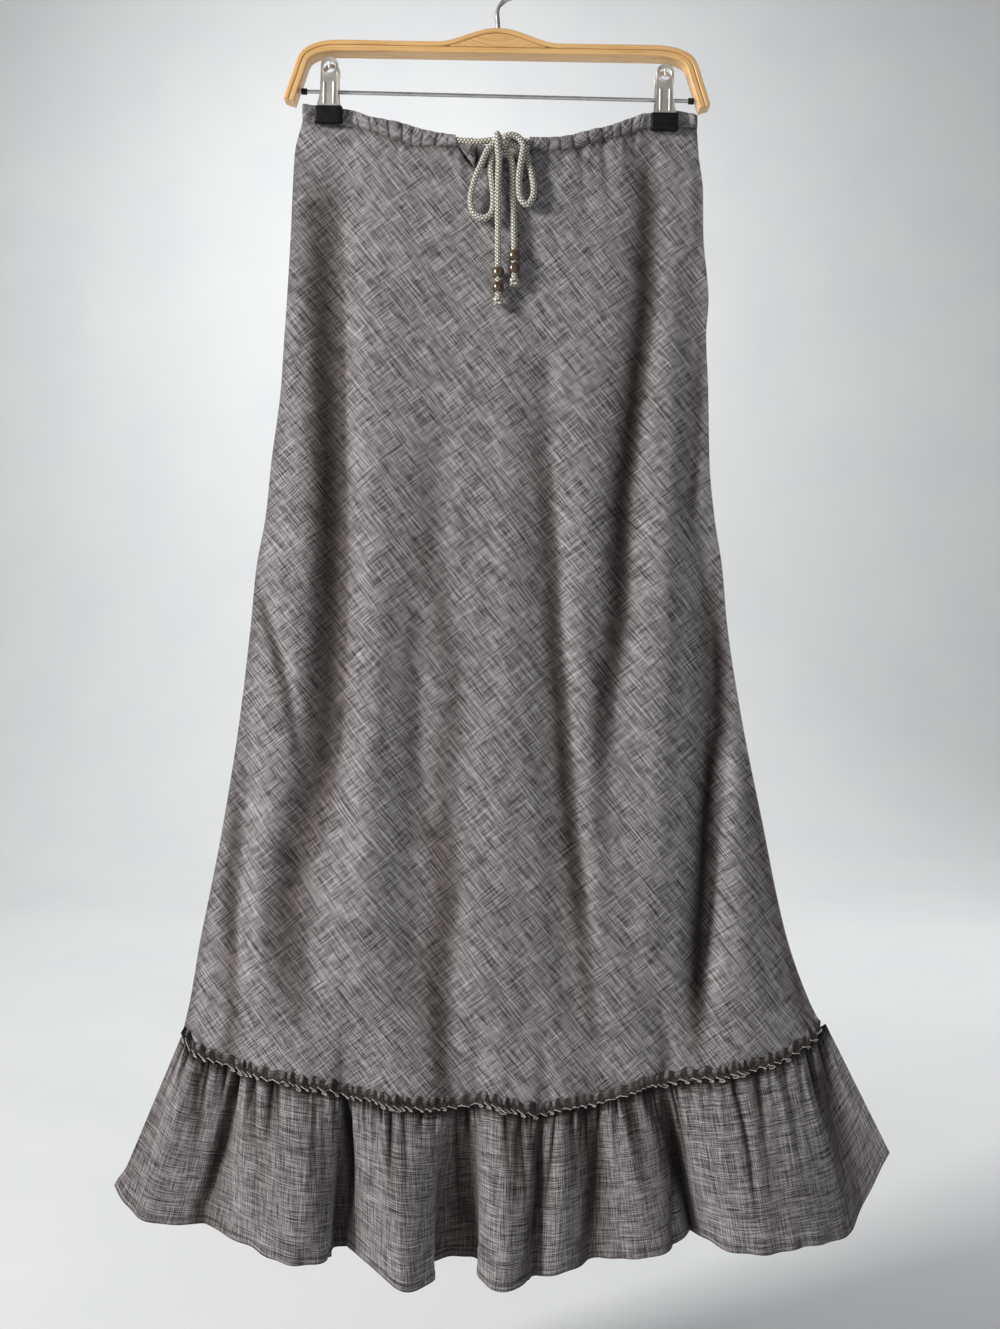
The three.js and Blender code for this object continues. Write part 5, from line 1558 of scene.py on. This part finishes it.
class SKIRT_OT_clips(SkirtOperator, bpy.types.Operator):
    """Makes the two clips, with pressed plates, a coiled spring and rubbered jaws"""

    bl_idname = "skirt.clips"
    bl_label = "Clips"

    def build(self, cloth, trim):
        plate = shared_material("clip_metal", steel_material, (0.84, 0.80, 0.73), 0.38)
        plastic = shared_material("moulded_plastic", plastic_material)
        middle = (BAR["left"] + BAR["right"]) / 2
        for side, (x, jaw_top) in CLIPS.items():
            slope = (BAR["rightZ"] - BAR["leftZ"]) / (BAR["right"] - BAR["left"])
            bar_z = (BAR["leftZ"] + BAR["rightZ"]) / 2 + (x - middle) * slope
            for face, facing in (("front", -1), ("back", 1)):
                self.plate(side, face, facing, x, jaw_top + 0.3, plate)
                self.jaw(side, face, facing, x, jaw_top, plastic)
            self.spring(side, x, bar_z)

    def outline(self):
        """The plate's edge, seen from the front, as points about even steps apart."""
        half, foot, top = CLIP["width"] / 2, CLIP["foot"] / 2, CLIP["top"]
        arc = [(half * math.cos(a), top - half + half * math.sin(a)) for a in np.linspace(0, math.pi, 25)]
        right = [(0.0, 0.0), (foot - 0.8, 0.0), (foot, 0.6), (mix(foot, half, 0.75), 8), (half, 14)]
        left = [(-x, z) for x, z in reversed(right[1:])]
        corners = np.array([*right, *arc, *left, (0.0, 0.0)])
        run = distance_along(corners)
        even = np.linspace(0, run[-1], 120, endpoint=False)
        return np.column_stack([np.interp(even, run, corners[:, k]) for k in range(2)])

    def plate(self, side, face, facing, x, foot_z, material):
        """A pressed plate: an outline with a hole, a rolled rim round the hole and two raised ribs."""
        edge = self.outline()
        centre = np.array([0, CLIP["top"] - CLIP["holeDown"]])
        away = edge - centre
        hole = centre + away / np.linalg.norm(away, axis=1, keepdims=True) * CLIP["hole"]
        width = np.linalg.norm(edge - hole, axis=1, keepdims=True)
        thick, soft = CLIP["thick"], 0.35
        near, far = np.zeros_like(width), np.ones_like(width)
        rim, border = ((0, soft), (soft, 0), (1.3, 0), (1.6, 0.3)), ((1.5, 0.3), (1.2, 0), (soft, 0))
        rows = [(np.minimum(reach / width, 0.4), deep) for reach, deep in rim]
        rows += [(1 - np.minimum(reach / width, 0.4), deep) for reach, deep in border]
        rows += [(far, soft), (far, thick - soft), (1 - np.minimum(soft / width, 0.4), thick)]
        rows += [(np.minimum(soft / width, 0.4), thick), (near, thick - soft)]
        rings = [np.column_stack([mix(hole, edge, share), np.full(len(edge), deep)]) for share, deep in rows]
        parts = [oriented(np.vstack(rings), [ring_faces(len(rows), len(edge))])]
        for x_of_rib in (-4.1, 4.1):
            parts.append(oriented(*self.rib(x_of_rib, 1.5, 21.5, 1.0)))
        if face == "front":
            parts.append(oriented(*self.rib(0.0, CLIP["top"] - 10.2, CLIP["top"] - 3.6, 0.9, 1.0)))
        points, faces = joined(parts)
        deep = facing * (CLIP["plateY"] + CLIP["thick"]) - facing * points[:, 2]
        placed = turned(np.column_stack([points[:, 0] + x, deep, points[:, 1] + foot_z]), HANGER_LEAN)
        piece = make_piece(f"pressed_plate_{side}_{face}", placed, faces, material, sharp=40)
        stands_for(piece, f"clip_{side}_plate_{face}")

    def rib(self, x, low, high, half, sink=0.3):
        """A raised rib with round ends, on the plate's face."""
        path = np.column_stack([np.full(24, x), np.linspace(low, high, 24), np.full(24, sink)])
        radii = rounded_ends(half, 24, high - low, (high - low) / 23)
        return capped_tube(swept(path, radii, 12))

    def jaw(self, side, face, facing, x, top, material):
        """A rubbered jaw: a softly rounded block with a rivet."""
        shell = bmesh.new()
        bmesh.ops.create_cube(shell, size=1)
        bmesh.ops.subdivide_edges(shell, edges=shell.edges[:], cuts=3, use_grid_fill=True)
        deep = JAW["back"] - JAW["face"]
        for vertex in shell.verts:
            px, py, pz = vertex.co
            bow = 1 - 0.035 * (1 - (2 * pz) ** 2)
            vertex.co = (px * JAW["width"] * bow, py * deep, pz * JAW["height"])
        sharp = [edge for edge in shell.edges if edge.calc_face_angle(0) > 1]
        bmesh.ops.bevel(
            shell, geom=sharp, offset=1.5, segments=4, profile=0.5, affect="EDGES", clamp_overlap=True,
        )
        shell.verts.ensure_lookup_table()
        points = np.array([vertex.co for vertex in shell.verts])
        faces = [[vertex.index for vertex in face.verts] for face in shell.faces]
        shell.free()
        blocks = [np.array([f for f in faces if len(f) == n]) for n in sorted({len(f) for f in faces})]
        rivet = np.array([(1.0, -deep / 2 - proud, 0.6) for proud in (-0.4, 0.1, 0.35)])
        dome = capped_tube(swept(rivet, [0.9, 0.8, 0.3], 16))
        points, blocks = joined([oriented(points, blocks), oriented(*dome)])
        placed = points * (1, -facing, 1) + (x, facing * (JAW["face"] + deep / 2), top - JAW["height"] / 2)
        placed = turned(placed, HANGER_LEAN)
        name = f"rubbered_jaw_{side}_{face}"
        piece = make_piece(name, placed, blocks, material, sharp=60)
        stands_for(piece, f"clip_{side}_jaw_{face}")

    def spring(self, side, x, bar_z):
        """A coiled spring round the bar."""
        turn = np.linspace(0, 2 * np.pi * SPRING["turns"], SPRING["turns"] * SPRING["steps"])
        across = x + np.linspace(-SPRING["half"], SPRING["half"], len(turn))
        y, z = SPRING["radius"] * np.cos(turn), SPRING["radius"] * np.sin(turn)
        path = np.column_stack([across, y, bar_z + z])
        points, faces = capped_tube(swept(path, np.full(len(path), SPRING["wire"]), 8))
        placed = turned(points, HANGER_LEAN)
        piece = make_piece(f"coiled_spring_{side}", placed, faces, hook_steel())
        stands_for(piece, f"clip_{side}_spring")


class SKIRT_PT_pieces(bpy.types.Panel):
    """Lists the steps of the build"""

    bl_idname = "SKIRT_PT_pieces"
    bl_label = "Maxi skirt"
    bl_space_type = "VIEW_3D"
    bl_region_type = "UI"
    bl_category = "Skirt"

    def draw(self, context):
        for operator in STEPS:
            self.layout.operator(operator.bl_idname)
        for settings in (context.scene.skirt_cloth, context.scene.skirt_trim):
            for name in settings.__annotations__:
                self.layout.prop(settings, name)


STEPS = (
    SKIRT_OT_stage, SKIRT_OT_drawstring, SKIRT_OT_body, SKIRT_OT_casing, SKIRT_OT_ruffle, SKIRT_OT_stitching,
    SKIRT_OT_bow, SKIRT_OT_hook_and_bar, SKIRT_OT_clips,
)
CLASSES = (SkirtClothSettings, SkirtTrimSettings, *STEPS, SKIRT_PT_pieces)


def register():
    for some_class in CLASSES:
        bpy.utils.register_class(some_class)
    bpy.types.Scene.skirt_cloth = bpy.props.PointerProperty(type=SkirtClothSettings)
    bpy.types.Scene.skirt_trim = bpy.props.PointerProperty(type=SkirtTrimSettings)


def unregister():
    del bpy.types.Scene.skirt_trim
    del bpy.types.Scene.skirt_cloth
    for some_class in reversed(CLASSES):
        bpy.utils.unregister_class(some_class)


def main():
    register()
    for step in STEPS:
        family, name = step.bl_idname.split(".")
        getattr(getattr(bpy.ops, family), name)()


if __name__ == "__main__":
    main()
